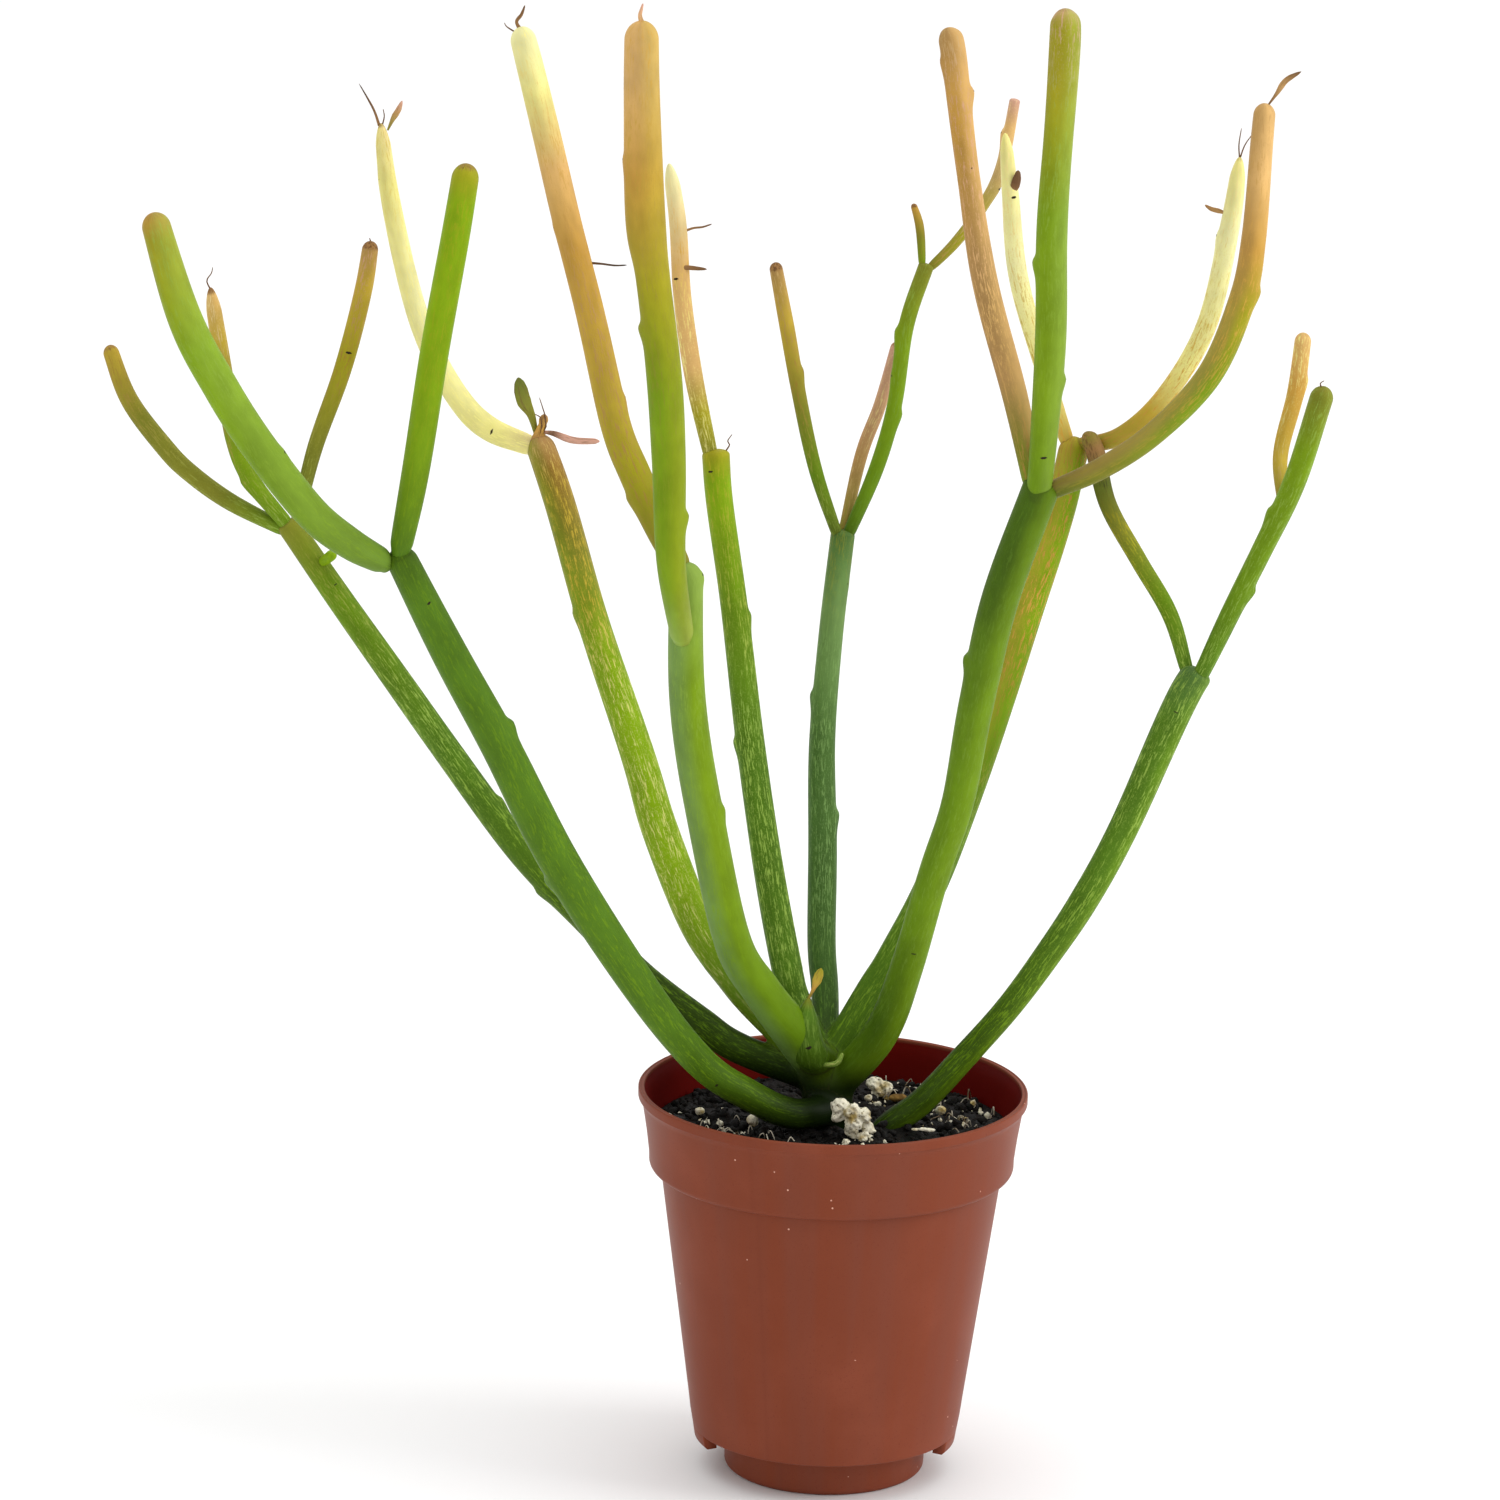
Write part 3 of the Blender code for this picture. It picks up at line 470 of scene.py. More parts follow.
@dataclass(frozen=True)
class StemSkin:
    """Living euphorbia skin: a waxy cuticle over green tissue, grown and never polished.

    The cuticle gives a soft sheen at grazing angles, pale fibres under it show as short flecks
    along the stem, and young tissue lets some light through.
    """

    name: str
    roughness: float = 0.46
    fleck_width: float = 0.2  # mm; a vein is nearer to 0.12, drawn coarser so that it shows
    fleck_length: float = 1.5
    stripe_width: float = 0.5
    stripe_length: float = 9.0
    glow: float = 0.0
    gloss: float = 0.1
    contrast: float = 1.5  # how strongly the flecks stand out

    def along(self, tree: bpy.types.NodeTree, grown: bpy.types.NodeSocket, width: float,
              length: float, detail: float) -> bpy.types.NodeSocket:
        """Noise drawn out along the growth: one cell is width across and length along it."""
        scaled = add_node(tree, "VectorMath", {
            "operation": "MULTIPLY", 0: grown, 1: (1 / width, 1 / width, 1 / length)})
        return add_node(tree, "TexNoise", {"Scale": 1.0, "Detail": detail, "Roughness": 0.6,
                                                     "Vector": scaled.outputs[0]}).outputs["Fac"]

    def build(self) -> bpy.types.Material:
        """Makes the material from the mesh's own attributes: tint, fleck, grown and marks."""
        material, tree, shader = new_material(self.name, self.roughness, 1.42, self.gloss)
        tint, fleck, grown, marks = (add_node(tree, "Attribute", {"attribute_name": name}).outputs
                                     for name in ("tint", "fleck", "grown", "marks"))
        slit, cork, crease_shade = add_node(tree, "SeparateXYZ", {0: marks["Vector"]}).outputs
        broad, veins, stripes, grains = (self.along(tree, grown["Vector"], *cell) for cell in (
            (3.2, 7.0, 2.0), (self.fleck_width, self.fleck_length, 3.0),
            (self.stripe_width, self.stripe_length, 2.0), (0.22, 0.3, 2.0)))
        light = add_node(tree, "MapRange", {0: broad, 1: 0.3, 2: 0.7, 3: 0.74, 4: 0.98})
        lit = add_node(tree, "VectorMath", {
            "operation": "SCALE", 0: tint["Color"], "Scale": light.outputs[0]})
        short, long, spots = (add_node(tree, "MapRange", {
            "interpolation_type": "SMOOTHSTEP", 0: pattern, 1: low, 2: high}).outputs[0]
            for pattern, low, high in ((veins, 0.5, 0.58), (stripes, 0.42, 0.58), (grains, 0.55, 0.64)))
        lined = add_node(tree, "Math", {"operation": "MULTIPLY", 0: short, 1: long})
        dotted = add_node(tree, "Math", {
            "operation": "MULTIPLY_ADD", 0: spots, 1: 0.3, 2: lined.outputs[0]})
        strong = add_node(tree, "Math", {
            "operation": "MULTIPLY", 0: dotted.outputs[0], 1: self.contrast})
        flecked = add_node(tree, "Math", {
            "operation": "MULTIPLY", "use_clamp": True, 0: strong.outputs[0], 1: fleck["Alpha"]})
        ragged = add_node(tree, "Math", {"operation": "MULTIPLY_ADD", 0: veins, 1: 0.7, 2: -0.35})
        corky = add_node(tree, "Math", {"operation": "ADD", 0: cork, 1: ragged.outputs[0]})
        bark = lay_coats(tree, Hue.CORK.value, (grains, 0.4, 0.62, Hue.BARK.value))
        # The crease coat is painted shade in the grooves between growths; the slit and cork coats are the
        # skin's own marks.
        colour = lay_coats(tree, lit.outputs[0], (flecked.outputs[0], None, None, fleck["Color"]),
                           (corky.outputs[0], 0.42, 0.72, bark), (crease_shade, 0.35, 0.95, "2E3212"),
                           (slit, 0.42, 0.6, Hue.SOOT.value))
        height = add_node(tree, "Math", {"operation": "ADD", 0: veins, 1: grains})
        wire_surface(tree, shader, colour, height.outputs[0], 0.35, 0.12)
        shader.inputs["Subsurface Weight"].default_value = self.glow
        shader.inputs["Subsurface Radius"].default_value = (0.9, 1.0, 0.3)
        shader.inputs["Subsurface Scale"].default_value = 0.9 * MM
        return material


@dataclass(frozen=True)
class DryLeaf:
    """A withered leaf or bract, dried on the plant: papery, matt and veined lengthways."""

    name: str
    vein_width: float = 0.25

    def build(self) -> bpy.types.Material:
        """Makes the material from the tint and the place along the blade."""
        material, tree, shader = new_material(self.name, 0.62)
        tint, grown = (add_node(tree, "Attribute", {"attribute_name": name}).outputs
                       for name in ("tint", "grown"))
        scaled = add_node(tree, "VectorMath", {
            "operation": "MULTIPLY", 0: grown["Vector"], 1: (1 / self.vein_width, 1 / self.vein_width, 0.5)})
        veins = add_node(tree, "TexNoise", {
            "Scale": 1.0, "Detail": 3.0, "Vector": scaled.outputs[0]}).outputs["Fac"]
        veined = lay_coats(tree, tint["Color"], (veins, 0.5, 0.7, Hue.BARK.value))
        colour = lay_coats(tree, tint["Color"], (0.55, None, None, veined))
        wire_surface(tree, shader, colour, veins, 0.5, 0.1)
        shader.inputs["Subsurface Weight"].default_value = 0.15
        shader.inputs["Subsurface Radius"].default_value = (1.0, 0.7, 0.4)
        shader.inputs["Subsurface Scale"].default_value = 0.4 * MM
        return material


@dataclass(frozen=True)
class MouldedPolypropylene:
    """Injection-moulded polypropylene in terracotta brown, straight from a spark-eroded tool.

    The tool leaves a fine satin grain, the melt leaves faint upright flow bands and one parting
    line, and handling leaves specks of potting dust and a few pale nicks.
    """

    name: str = "terracotta polypropylene, moulded satin"
    colour: str = "7E3E29"
    worn: str = "884733"
    cool: str = "7B4130"
    # Painted shade: the inner wall's colour, the same plastic made darker and redder for the shadow inside
    # the pot.
    inside: str = "680E08"
    grain: float = 0.22  # mm; the tool's grit is nearer to 0.05, drawn coarser so that it shows
    flow_band: float = 4.5
    roughness: float = 0.42

    def build(self) -> bpy.types.Material:
        """Makes the material. The attribute side is 1 on the inner wall, which takes the painted shade
        colour; around is the arc length round the wall and the height, in millimetres. The parting
        line and a painted shadow under the band share one attribute."""
        material, tree, shader = new_material(self.name, self.roughness, 1.49, 0.06)
        around, side, seam = (add_node(tree, "Attribute", {"attribute_name": name}).outputs
                              for name in ("around", "side", "seam"))
        place, cloud, grit, chosen = object_grains(tree, (14, 3.0), (self.grain, 2.0), (5.2, 1.0))
        stretched = add_node(tree, "VectorMath", {
            "operation": "MULTIPLY", 0: around["Vector"], 1: (1 / self.flow_band, 1 / self.flow_band, 0.012)})
        flow = add_node(tree, "TexNoise", {
            "Scale": 1.0, "Detail": 3.0, "Vector": stretched.outputs[0]})
        dust = add_node(tree, "TexVoronoi", {
            "Scale": 1 / (2.6 * MM), "Randomness": 1.0, "Vector": place})
        near = add_node(tree, "Math", {
            "operation": "LESS_THAN", 0: dust.outputs["Distance"], 1: 0.055})
        few = add_node(tree, "Math", {"operation": "GREATER_THAN", 0: chosen, 1: 0.58})
        speck = add_node(tree, "Math", {
            "operation": "MULTIPLY", 0: near.outputs[0], 1: few.outputs[0]})
        # The dark line coat is the parting line plus a painted shadow under the band; the last coat is
        # painted shade over the whole inner wall.
        colour = lay_coats(tree, self.colour, (flow.outputs["Fac"], 0.3, 0.75, self.cool),
                           (cloud, 0.4, 0.9, self.worn), (grit, 0.62, 0.72, "74392A"),
                           (speck.outputs[0], None, None, "D9A590"), (seam["Fac"], None, None, "6A3222"),
                           (side["Fac"], None, None, self.inside))
        wire_surface(tree, shader, colour, grit, 0.18, 0.05)
        return material


@dataclass(frozen=True)
class DampPeat:
    """Milled sphagnum peat, damp: nearly black, matt in the hollows and a little wet on top."""

    name: str = "damp milled peat"
    crumb: float = 1.1

    def build(self) -> bpy.types.Material:
        """Makes the material from noise at the size of the crumbs."""
        material, tree, shader = new_material(self.name, 0.75, gloss=0.25)
        _, clods, fine = object_grains(tree, (self.crumb, 5.0), (0.3, 3.0))
        colour = lay_coats(tree, "050403", (clods, 0.42, 0.66, "140E0A"), (fine, 0.62, 0.7, "2E2219"))
        damp = add_node(tree, "MapRange", {0: clods, 1: 0.35, 2: 0.65, 3: 0.5, 4: 0.95})
        tree.links.new(damp.outputs[0], shader.inputs["Roughness"])
        wire_surface(tree, shader, colour, fine, 0.8, 0.3)
        return material


@dataclass(frozen=True)
class ExpandedPerlite:
    """Perlite, a volcanic glass popped in a kiln: off-white foam, stained by the peat it lies in."""

    name: str
    colour: str = "EFE9D2"
    stain: str = "B49C5C"
    pore: float = 0.7

    def build(self) -> bpy.types.Material:
        """Makes the material: open pores as pits darkened with painted shade, and a yellow stain in patches.
        """
        material, tree, shader = new_material(self.name, 0.85, gloss=0.15)
        place, patch, dirt = object_grains(tree, (2.2, 4.0), (0.5, 3.0))
        pores = add_node(tree, "TexVoronoi", {
            "Scale": 1 / (self.pore * MM), "Vector": place}).outputs["Distance"]
        wall = add_node(tree, "MapRange", {
            "interpolation_type": "SMOOTHSTEP", 0: pores, 1: 0.04, 2: 0.3})
        pore_shade = add_node(tree, "Math", {"operation": "SUBTRACT", 0: 1.0, 1: wall.outputs[0]})
        colour = lay_coats(tree, self.colour, (patch, 0.45, 0.7, self.stain), (dirt, 0.6, 0.72, "6E6038"),
                           (pore_shade.outputs[0], None, None, "8A7A4E"))
        wire_surface(tree, shader, colour, pores, 0.9, 0.3)
        return material


def plain_material(name: str, colour: str, roughness: float) -> bpy.types.Material:
    """The stage's material: one pale colour, so that the floor stays plain."""
    material, _, shader = new_material(name, roughness)
    shader.inputs["Base Color"].default_value = rgba(colour)
    return material


@dataclass(frozen=True)
class RootFibre:
    """Dry root fibre: pale and papery, stained brown where the peat has dried on it."""

    name: str = "dry root fibre"
    clean: str = "D2C9B4"
    stained: str = "6E5A42"

    def build(self) -> bpy.types.Material:
        """Makes the material from stains about 2 mm long and a fine grain."""
        material, tree, shader = new_material(self.name, 0.65)
        _, stain, grain = object_grains(tree, (2.0, 3.0), (0.25, 2.0))
        colour = lay_coats(tree, self.clean, (stain, 0.48, 0.62, self.stained))
        wire_surface(tree, shader, colour, grain, 0.3, 0.05)
        return material


# ---- The plant ------------------------------------------------------------------------------


class Tip(Enum):
    """How a growth ends: its cap's length as a share of its radius there, and how blunt it is."""

    DOME = (1.15, 2.0)
    POINTED = (3.4, 1.45)
    STUB = (0.55, 2.6)


@dataclass(frozen=True)
class Scar:
    """A leaf scar: a low bump with a dark slit across it.

    Attributes:
        share: Its place along the growth.
        angle: Degrees round it, 0 at the front and 90 on the right.
        bump: The bump's height, in millimetres.
        slit: The slit's length, in millimetres, 0 for none.
    """

    share: float
    angle: float
    bump: float = 0.35
    slit: float = 1.0


@dataclass(frozen=True)
class Plan:
    """What one growth is like. Its route is (x, y, z, radius) in millimetres from its carrier."""

    name: str
    carrier: str
    side: tuple
    route: tuple
    tones: str  # colour stops, as read_stops takes them
    flecks: str
    slot: str
    skin: str = "green"
    tip: Tip = Tip.DOME
    below: float = 0.0
    start: Optional[tuple] = None
    # The line where a growth meets a neighbour is painted shade.
    seam: float = 0.55  # how dark the line is where it meets a neighbour
    cork: tuple = (0.0, 0.0)  # how far the corky cap reaches from the end, and how strong it is
    flank: tuple = (0, Hue.MOSS, 0.0)  # a second colour on one side: degrees, Hue and strength
    scars: tuple = ()
    sides: int = 36


@dataclass(frozen=True)
class Seats:
    """Where the growths start, in millimetres."""

    crown: tuple = (-1.5, 4.0, 62.5)
    rooted: tuple = (8.3, 0.0, 55.0)
    rooted_foot: tuple = (-3.2, -0.5, -3.6)
    soil_top: float = 55.0
    trunk_radius: float = 4.2
    trunk_foot: float = 43.0


class Growth:
    """A plan laid out in space: samples every quarter of a millimetre along its centreline."""

    SPACING = 0.25
    BATCH = 20000  # points that are located at a time, to spare memory

    def __init__(self, plan: Plan, origin: np.ndarray, first: np.ndarray, first_radius: float) -> None:
        """Lays the run out.

        Args:
            plan: What the growth is like.
            origin: The point that its route is counted from.
            first: The buried start of its centreline.
            first_radius: Its radius there.
        """
        self.plan = plan
        route = np.array(plan.route, float)
        route[:, :3] += origin
        line = smooth_line(np.vstack([[*first, first_radius], route]))
        steps = np.linalg.norm(np.diff(line[:, :3], axis=0), axis=1)
        travelled = np.concatenate([[0], np.cumsum(steps)])
        self.length = float(travelled[-1])
        self.along = np.linspace(0, self.length, max(12, round(self.length / self.SPACING)))
        values = columns_at(self.along, travelled, line)
        self.centre, self.radius = values[:, :3], values[:, 3]
        long, blunt = plan.tip.value
        self.cap = min(long * self.radius[-1], self.length / 2)
        ahead = np.clip((self.along - self.length + self.cap) / self.cap, 0, 1)
        self.girth = self.radius * (1 - ahead ** blunt) ** 0.5
        self.tangent = unit(np.gradient(self.centre, axis=0))
        rights, fronts = np.array([1.0, 0, 0]), np.array([0, -1.0, 0.15])
        lean_right = np.abs(self.tangent @ rights).max()
        lean_front = np.abs(self.tangent @ unit(fronts)).max()
        if lean_front <= lean_right:
            self.front = unit(fronts - (self.tangent @ fronts)[:, None] * self.tangent)
            self.right = np.cross(self.tangent, self.front)
        else:
            self.right = unit(rights - (self.tangent @ rights)[:, None] * self.tangent)
            self.front = np.cross(self.right, self.tangent)

    def at(self, along: np.ndarray) -> dict:
        """Centre, tangent, front, right and radius at places along the growth, in millimetres."""
        found = {name: columns_at(along, self.along, getattr(self, name))
                 for name in ("centre", "tangent", "front", "right")}
        found["radius"] = np.interp(along, self.along, self.radius)
        return found

    def end(self) -> tuple:
        """The last point, the direction there and the radius."""
        return self.centre[-1], self.tangent[-1], float(self.radius[-1])

    def locate(self, points: np.ndarray) -> tuple:
        """The nearest place on the growth for each point.

        Args:
            points: Places, in millimetres.

        Returns:
            The distance from the skin, the place along the growth, and the angle round it.
        """
        count = len(points)
        gap, along, angle = np.empty(count), np.empty(count), np.empty(count)
        for start in range(0, count, self.BATCH):
            part = points[start:start + self.BATCH]
            squares = ((part ** 2).sum(1)[:, None] - 2 * part @ self.centre.T
                       + (self.centre ** 2).sum(1)[None, :])
            best = squares.argmin(1)
            offset = part - self.centre[best]
            ahead = (offset * self.tangent[best]).sum(1)
            span = self.along[1] - self.along[0]
            inner = (best > 0) & (best < len(self.along) - 1)
            ends = np.where(best == 0, np.maximum(ahead, 0), np.clip(ahead, -span, 0))
            slide = np.where(inner, np.clip(ahead, -span, span), ends)
            offset = offset - slide[:, None] * self.tangent[best]
            place = slice(start, start + len(part))
            along[place] = self.along[best] + slide
            gap[place] = np.linalg.norm(offset, axis=1) - np.interp(along[place], self.along, self.girth)
            angle[place] = np.arctan2((offset * self.right[best]).sum(1),
                                      (offset * self.front[best]).sum(1))
        return gap, along, angle

    def colours(self, along: np.ndarray, angle: np.ndarray) -> tuple:
        """The tint and the flecks at places on the skin.

        Args:
            along: Places along the growth, in millimetres.
            angle: Angles round it, in radians.

        Returns:
            The tint as four columns, and the fleck's colour with its strength as the fourth.
        """
        plan = self.plan
        shares = along / self.length
        tint = blend_hues(shares, plan.tones)
        turn, hue, strength, *rest = plan.flank
        side = strength * smooth_step(np.cos(angle - math.radians(turn)), -0.2, 0.9)
        side = side * smooth_step(shares, rest[0] - 0.15, rest[0] + 0.15) if rest else side
        tint = tint * (1 - side[..., None]) + linear(hue.value) * side[..., None]
        fleck = blend_hues(shares, plan.flecks)
        stops = read_stops(plan.flecks)
        amount = np.interp(shares, [stop[0] for stop in stops], [stop[2] for stop in stops])
        ones = np.ones((*shares.shape, 1))
        return np.concatenate([tint, ones], -1), np.concatenate([fleck, amount[..., None]], -1)

    def skin(self, start: float = 0.0, neighbours: tuple = ()) -> tuple:
        """The tube's surface from a start along it to its end.

        A point is centre + r (cos a front + sin a right). r is the radius, times the cap's
        superellipse near the end, plus ridges that run along the growth, swellings and scars.

        Args:
            start: Where the tube starts along the growth, in millimetres.
            neighbours: Growths whose skins this one meets in a line of painted shade.

        Returns:
            Vertices, faces and attributes.
        """
        plan = self.plan
        rng = np.random.default_rng(sum(map(ord, plan.name)))
        cap, blunt = self.cap, plan.tip.value[1]
        body = np.linspace(start, self.length - cap, max(8, round((self.length - cap - start) / 0.42)))
        turns = np.linspace(0, math.pi / 2, 15)[1:-1]
        along = np.concatenate([body, self.length - cap + cap * np.sin(turns)])
        here = self.at(along)
        ahead = np.clip((along - (self.length - cap)) / cap, 0, 1)
        profile = (1 - ahead ** blunt) ** 0.5 * (0.8 + 0.2 * smooth_step(along, start, start + 2.0))
        angle = np.linspace(-math.pi, math.pi, plan.sides, endpoint=False)
        grid_along, grid_angle = np.meshgrid(along, angle, indexing="ij")
        fade = smooth_step(grid_along, start, start + 4.0) * profile[:, None]
        ripple = np.zeros_like(grid_along)
        for lobes, size in ((2, 0.05), (3, 0.035), (5, 0.022), (8, 0.016), (11, 0.014)):
            phase, drift, wave = rng.uniform(0, 6.28), rng.uniform(-0.06, 0.06), rng.uniform(0.05, 0.16)
            ripple += size * np.cos(lobes * grid_angle + phase + drift * grid_along) * (
                0.6 + 0.4 * np.sin(wave * grid_along + phase))
        swell = 0.05 * np.sin(0.21 * grid_along + rng.uniform(0, 6)) * np.cos(grid_angle + rng.uniform(0, 6))
        thin = min(1.0, self.radius.mean() / 2.0)
        radius = here["radius"][:, None] * profile[:, None] + (ripple + swell) * fade * thin
        slit = np.zeros_like(radius)
        for scar in plan.scars:
            across = self.radius.mean() * ((grid_angle - math.radians(scar.angle) + math.pi)
                                           % (2 * math.pi) - math.pi)
            down = grid_along - scar.share * self.length
            radius += scar.bump * np.exp(-(across / 0.95) ** 2 - (down / np.where(down > 0, 0.75, 1.9)) ** 2)
            if scar.slit:
                slit = np.maximum(slit, np.exp(-(across / (scar.slit * 0.6)) ** 2 - (down / 0.24) ** 2))
        rings = (here["centre"][:, None, :]
                 + radius[..., None] * (np.cos(grid_angle)[..., None] * here["front"][:, None, :]
                                        + np.sin(grid_angle)[..., None] * here["right"][:, None, :]))
        points, faces = closed_tube(rings, self.at(np.array([start]))["centre"][0], self.end()[0])
        flat_along = np.append(grid_along.ravel(), [start, self.length])
        flat_angle = np.append(grid_angle.ravel(), [0, 0])
        tint, fleck = self.colours(flat_along, flat_angle)
        grown = turned(self.radius.mean(), flat_angle, flat_along)
        reach, strength = plan.cork
        cork = strength * smooth_step(flat_along, self.length - max(reach, 0.01) * 1.6,
                                      self.length - reach * 0.3)
        # Painted shade along the groove where a neighbour's skin meets this one.
        seam = np.zeros(len(points))
        for neighbour in neighbours:
            gap = neighbour.locate(points)[0]
            seam = np.maximum(seam, min(plan.seam, neighbour.plan.seam) * np.exp(-(gap / 0.3) ** 2))
        marks = np.stack([np.append(slit.ravel(), [0, 0]), cork, seam], axis=1)
        return points, faces, {"tint": tint, "fleck": fleck, "grown": grown, "marks": marks}


# Each row of a route is x, y, z and the radius there.
# Where a stem's tones start dark, that foot colour is partly painted shade and partly the stem's own darker
# base.
STEMS = (
    Plan("stem_left_front", "crown", (-0.25, -0.6, -0.9),
         ((-4.6, -8.8, -4.3, 2.4), (-12, -14, 0.4, 2.4), (-19, -18, 6.5, 2.45), (-28, -24, 19.5, 2.7),
          (-40.5, -31, 41, 3.0), (-49.5, -36, 60, 2.9), (-57, -39, 74.5, 2.7), (-64.9, -42.6, 91.2, 2.3)),
         "0 DARK_MOSS, 0.15 MOSS, 0.4 FERN, 0.7 FERN, 0.93 FERN, 1 MOSS",
         "0 LEAF 0.4, 0.5 LEAF 0.4, 1 LEAF 0.25", "deep_green", start=(2.2, -2.6, -5.0), cork=(0.8, 0.2),
         scars=(Scar(0.2, -20, 0.15, 1.1), Scar(0.545, -95, 0.5, 0), Scar(0.745, 95, 0.6, 0.6),
                Scar(0.93, 20, 0.2, 0.9))),
    Plan("stem_left_back", "crown", (-0.98, 0.15, 0.05),
         ((-13, 1, 3, 2.4), (-19, 1, 7, 2.35), (-28.5, 2, 14, 2.3), (-36.5, 3, 22, 2.3),
          (-47.5, 5, 33, 2.3), (-60, 8, 49, 2.2), (-74.5, 11, 68.5, 2.05), (-84.5, 14, 82, 1.9)),
         "0 DARK_MOSS, 0.25 DARK_MOSS, 0.4 MOSS, 0.65 FERN, 0.9 LEAF, 1 OLIVE",
         "0 MOSS 0.4, 0.4 LEAF 0.6, 0.7 PALE_LEAF 0.7, 1 OLIVE 0.5", "deep_green", tip=Tip.STUB,
         start=(0.8, 0, -1.9), cork=(1.2, 0.3),
         scars=(Scar(0.44, -90, 0.35, 0.5), Scar(0.56, 90, 0.4, 0.5), Scar(0.9, 25, 0.2, 1.0))),
    Plan("stem_left_upright", "crown", (-0.78, 0.1, 0.62),
         ((-10, 2.3, 8.8, 2.4), (-14, 3, 13.5, 2.6), (-20, 4, 22, 2.75), (-26, 5, 36.5, 2.8),
          (-29.5, 6, 47.5, 2.65), (-37, 8, 69, 2.45), (-42.5, 10, 87, 2.4), (-46.1, 11, 97, 2.2)),
         "0 MOSS, 0.15 FERN, 0.3 LIME, 0.66 LIME, 0.82 OLIVE, 0.95 RUST, 1 COPPER",
         "0 FERN 0.4, 0.35 CREAM 0.4, 0.6 CREAM 0.4, 0.75 GOLD 0.6, 0.92 GOLD 0.55, 1 TAN 0.6",
         "yellow_green", cork=(2.0, 0.5), flank=(-80, Hue.GRASS, 0.5),
         scars=(Scar(0.65, 10, 0.12, 0.0), Scar(0.2, -60, 0.1, 0.8), Scar(0.74, -90, 0.3, 0.4))),
    Plan("stem_front", "crown", (-0.4, -0.75, 0.53),
         ((-5.6, -9, 9.6, 3.15), (-9.9, -13, 16.5, 2.95), (-14.5, -17, 25.5, 2.85), (-18.8, -24, 46, 2.8),
          (-21.9, -31, 66.5, 2.7), (-22.4, -39, 89, 2.45)),
         "0 GRASS, 0.12 LEAF, 0.5 GRASS, 0.8 GRASS, 1 PALE_LEAF",
         "0 FERN 0.3, 0.4 GRASS 0.3, 1 PALE_LEAF 0.25", "leaf_green", flank=(-75, Hue.PALE_SAGE, 0.75),
         scars=(Scar(0.56, 88, 0.35, 0.0), Scar(0.985, 80, 0.3, 0.7), Scar(0.12, 10, 0.12, 0.0))),
    Plan("stem_back_left", "crown", (-0.35, 0.4, 0.85),
         ((-4.5, 4, 10, 2.3), (-6, 4.5, 15, 2.4), (-9.5, 6, 32, 2.35), (-12.5, 8, 50.5, 2.25),
          (-15.5, 10, 72, 2.1), (-18, 12, 87, 2.05), (-18.8, 13, 95, 2.1)),
         "0 DARK_MOSS, 0.15 FERN, 0.5 FERN, 0.75 LEAF, 0.95 LIME, 1 MUSTARD",
         "0 FERN 0.5, 0.15 PALE_LEAF 0.75, 0.6 PALE_LEAF 0.75, 1 MUSTARD 0.5", "leaf_green", tip=Tip.STUB,
         cork=(1.0, 0.25),
         scars=(Scar(0.73, 92, 0.35, 0.5), Scar(0.53, -90, 0.4, 0.4), Scar(0.965, -25, 0.15, 1.1))),
    Plan("stem_back", "crown", (0.12, 0.8, 0.59),
         ((0, 9, 10, 2.15), (-0.7, 11, 18, 2.2), (-0.9, 14, 33, 2.2), (-1.3, 17, 48.5, 2.0),
          (-0.4, 20, 63.5, 1.9), (1.2, 23, 80.5, 1.85)),
         "0 DARK_MOSS, 0.2 SAGE, 0.6 SAGE, 0.85 PALE_SAGE, 1 SAGE",
         "0 FERN 0.5, 0.3 PALE_SAGE 0.8, 0.8 PALE_SAGE 0.6, 1 OLIVE 0.4", "blue_green", tip=Tip.STUB,
         cork=(0.8, 0.3),
         scars=(Scar(0.47, 88, 0.45, 0.5), Scar(0.69, -88, 0.4, 0.4), Scar(0.9, 60, 0.15, 0.7))),
    Plan("stem_right_front", "crown", (0.65, -0.46, 0.6),
         ((8.5, -6, 8, 2.75), (12.1, -10, 19.5, 2.55), (16, -16, 37, 2.45), (19, -20, 49, 2.5),
          (21.2, -26, 66, 2.65), (24, -31, 82.5, 2.8), (29.8, -37, 102.5, 2.7)),
         "0 LEAF, 0.14 MOSS, 0.3 LEAF, 0.6 LEAF, 0.85 MOSS, 1 MOSS",
         "0 FERN 0.3, 0.4 PALE_LEAF 0.15, 1 FERN 0.2", "leaf_green", tip=Tip.STUB, start=(1.6, -0.8, -2.4),
         flank=(75, Hue.GRASS, 0.45), cork=(0.7, 0.15),
         scars=(Scar(0.27, 5, 0.1, 1.3), Scar(0.72, -95, 0.6, 0.5))),
    Plan("stem_right_back", "crown", (0.5, 0.42, 0.76),
         ((7, 4.5, 11.5, 2.4), (10.5, 5, 17.5, 2.45), (17.5, 6, 32.5, 2.5), (25.5, 8, 57.5, 2.5),
          (30, 10, 73, 2.5), (34.5, 12, 88.5, 2.4), (36.3, 14, 98, 2.15)),
         "0 MOSS, 0.15 FERN, 0.5 LEAF, 0.8 LIME, 0.96 GRASS, 1 MUSTARD",
         "0 LEAF 0.6, 0.4 PALE_LEAF 0.5, 0.55 RUST 0.3, 0.75 AMBER 0.8, 1 RUST 0.9", "yellow_green",
         cork=(1.0, 0.4), flank=(-70, Hue.AMBER, 0.4, 0.45), scars=(Scar(0.985, 95, 0.35, 0.6),)),
)
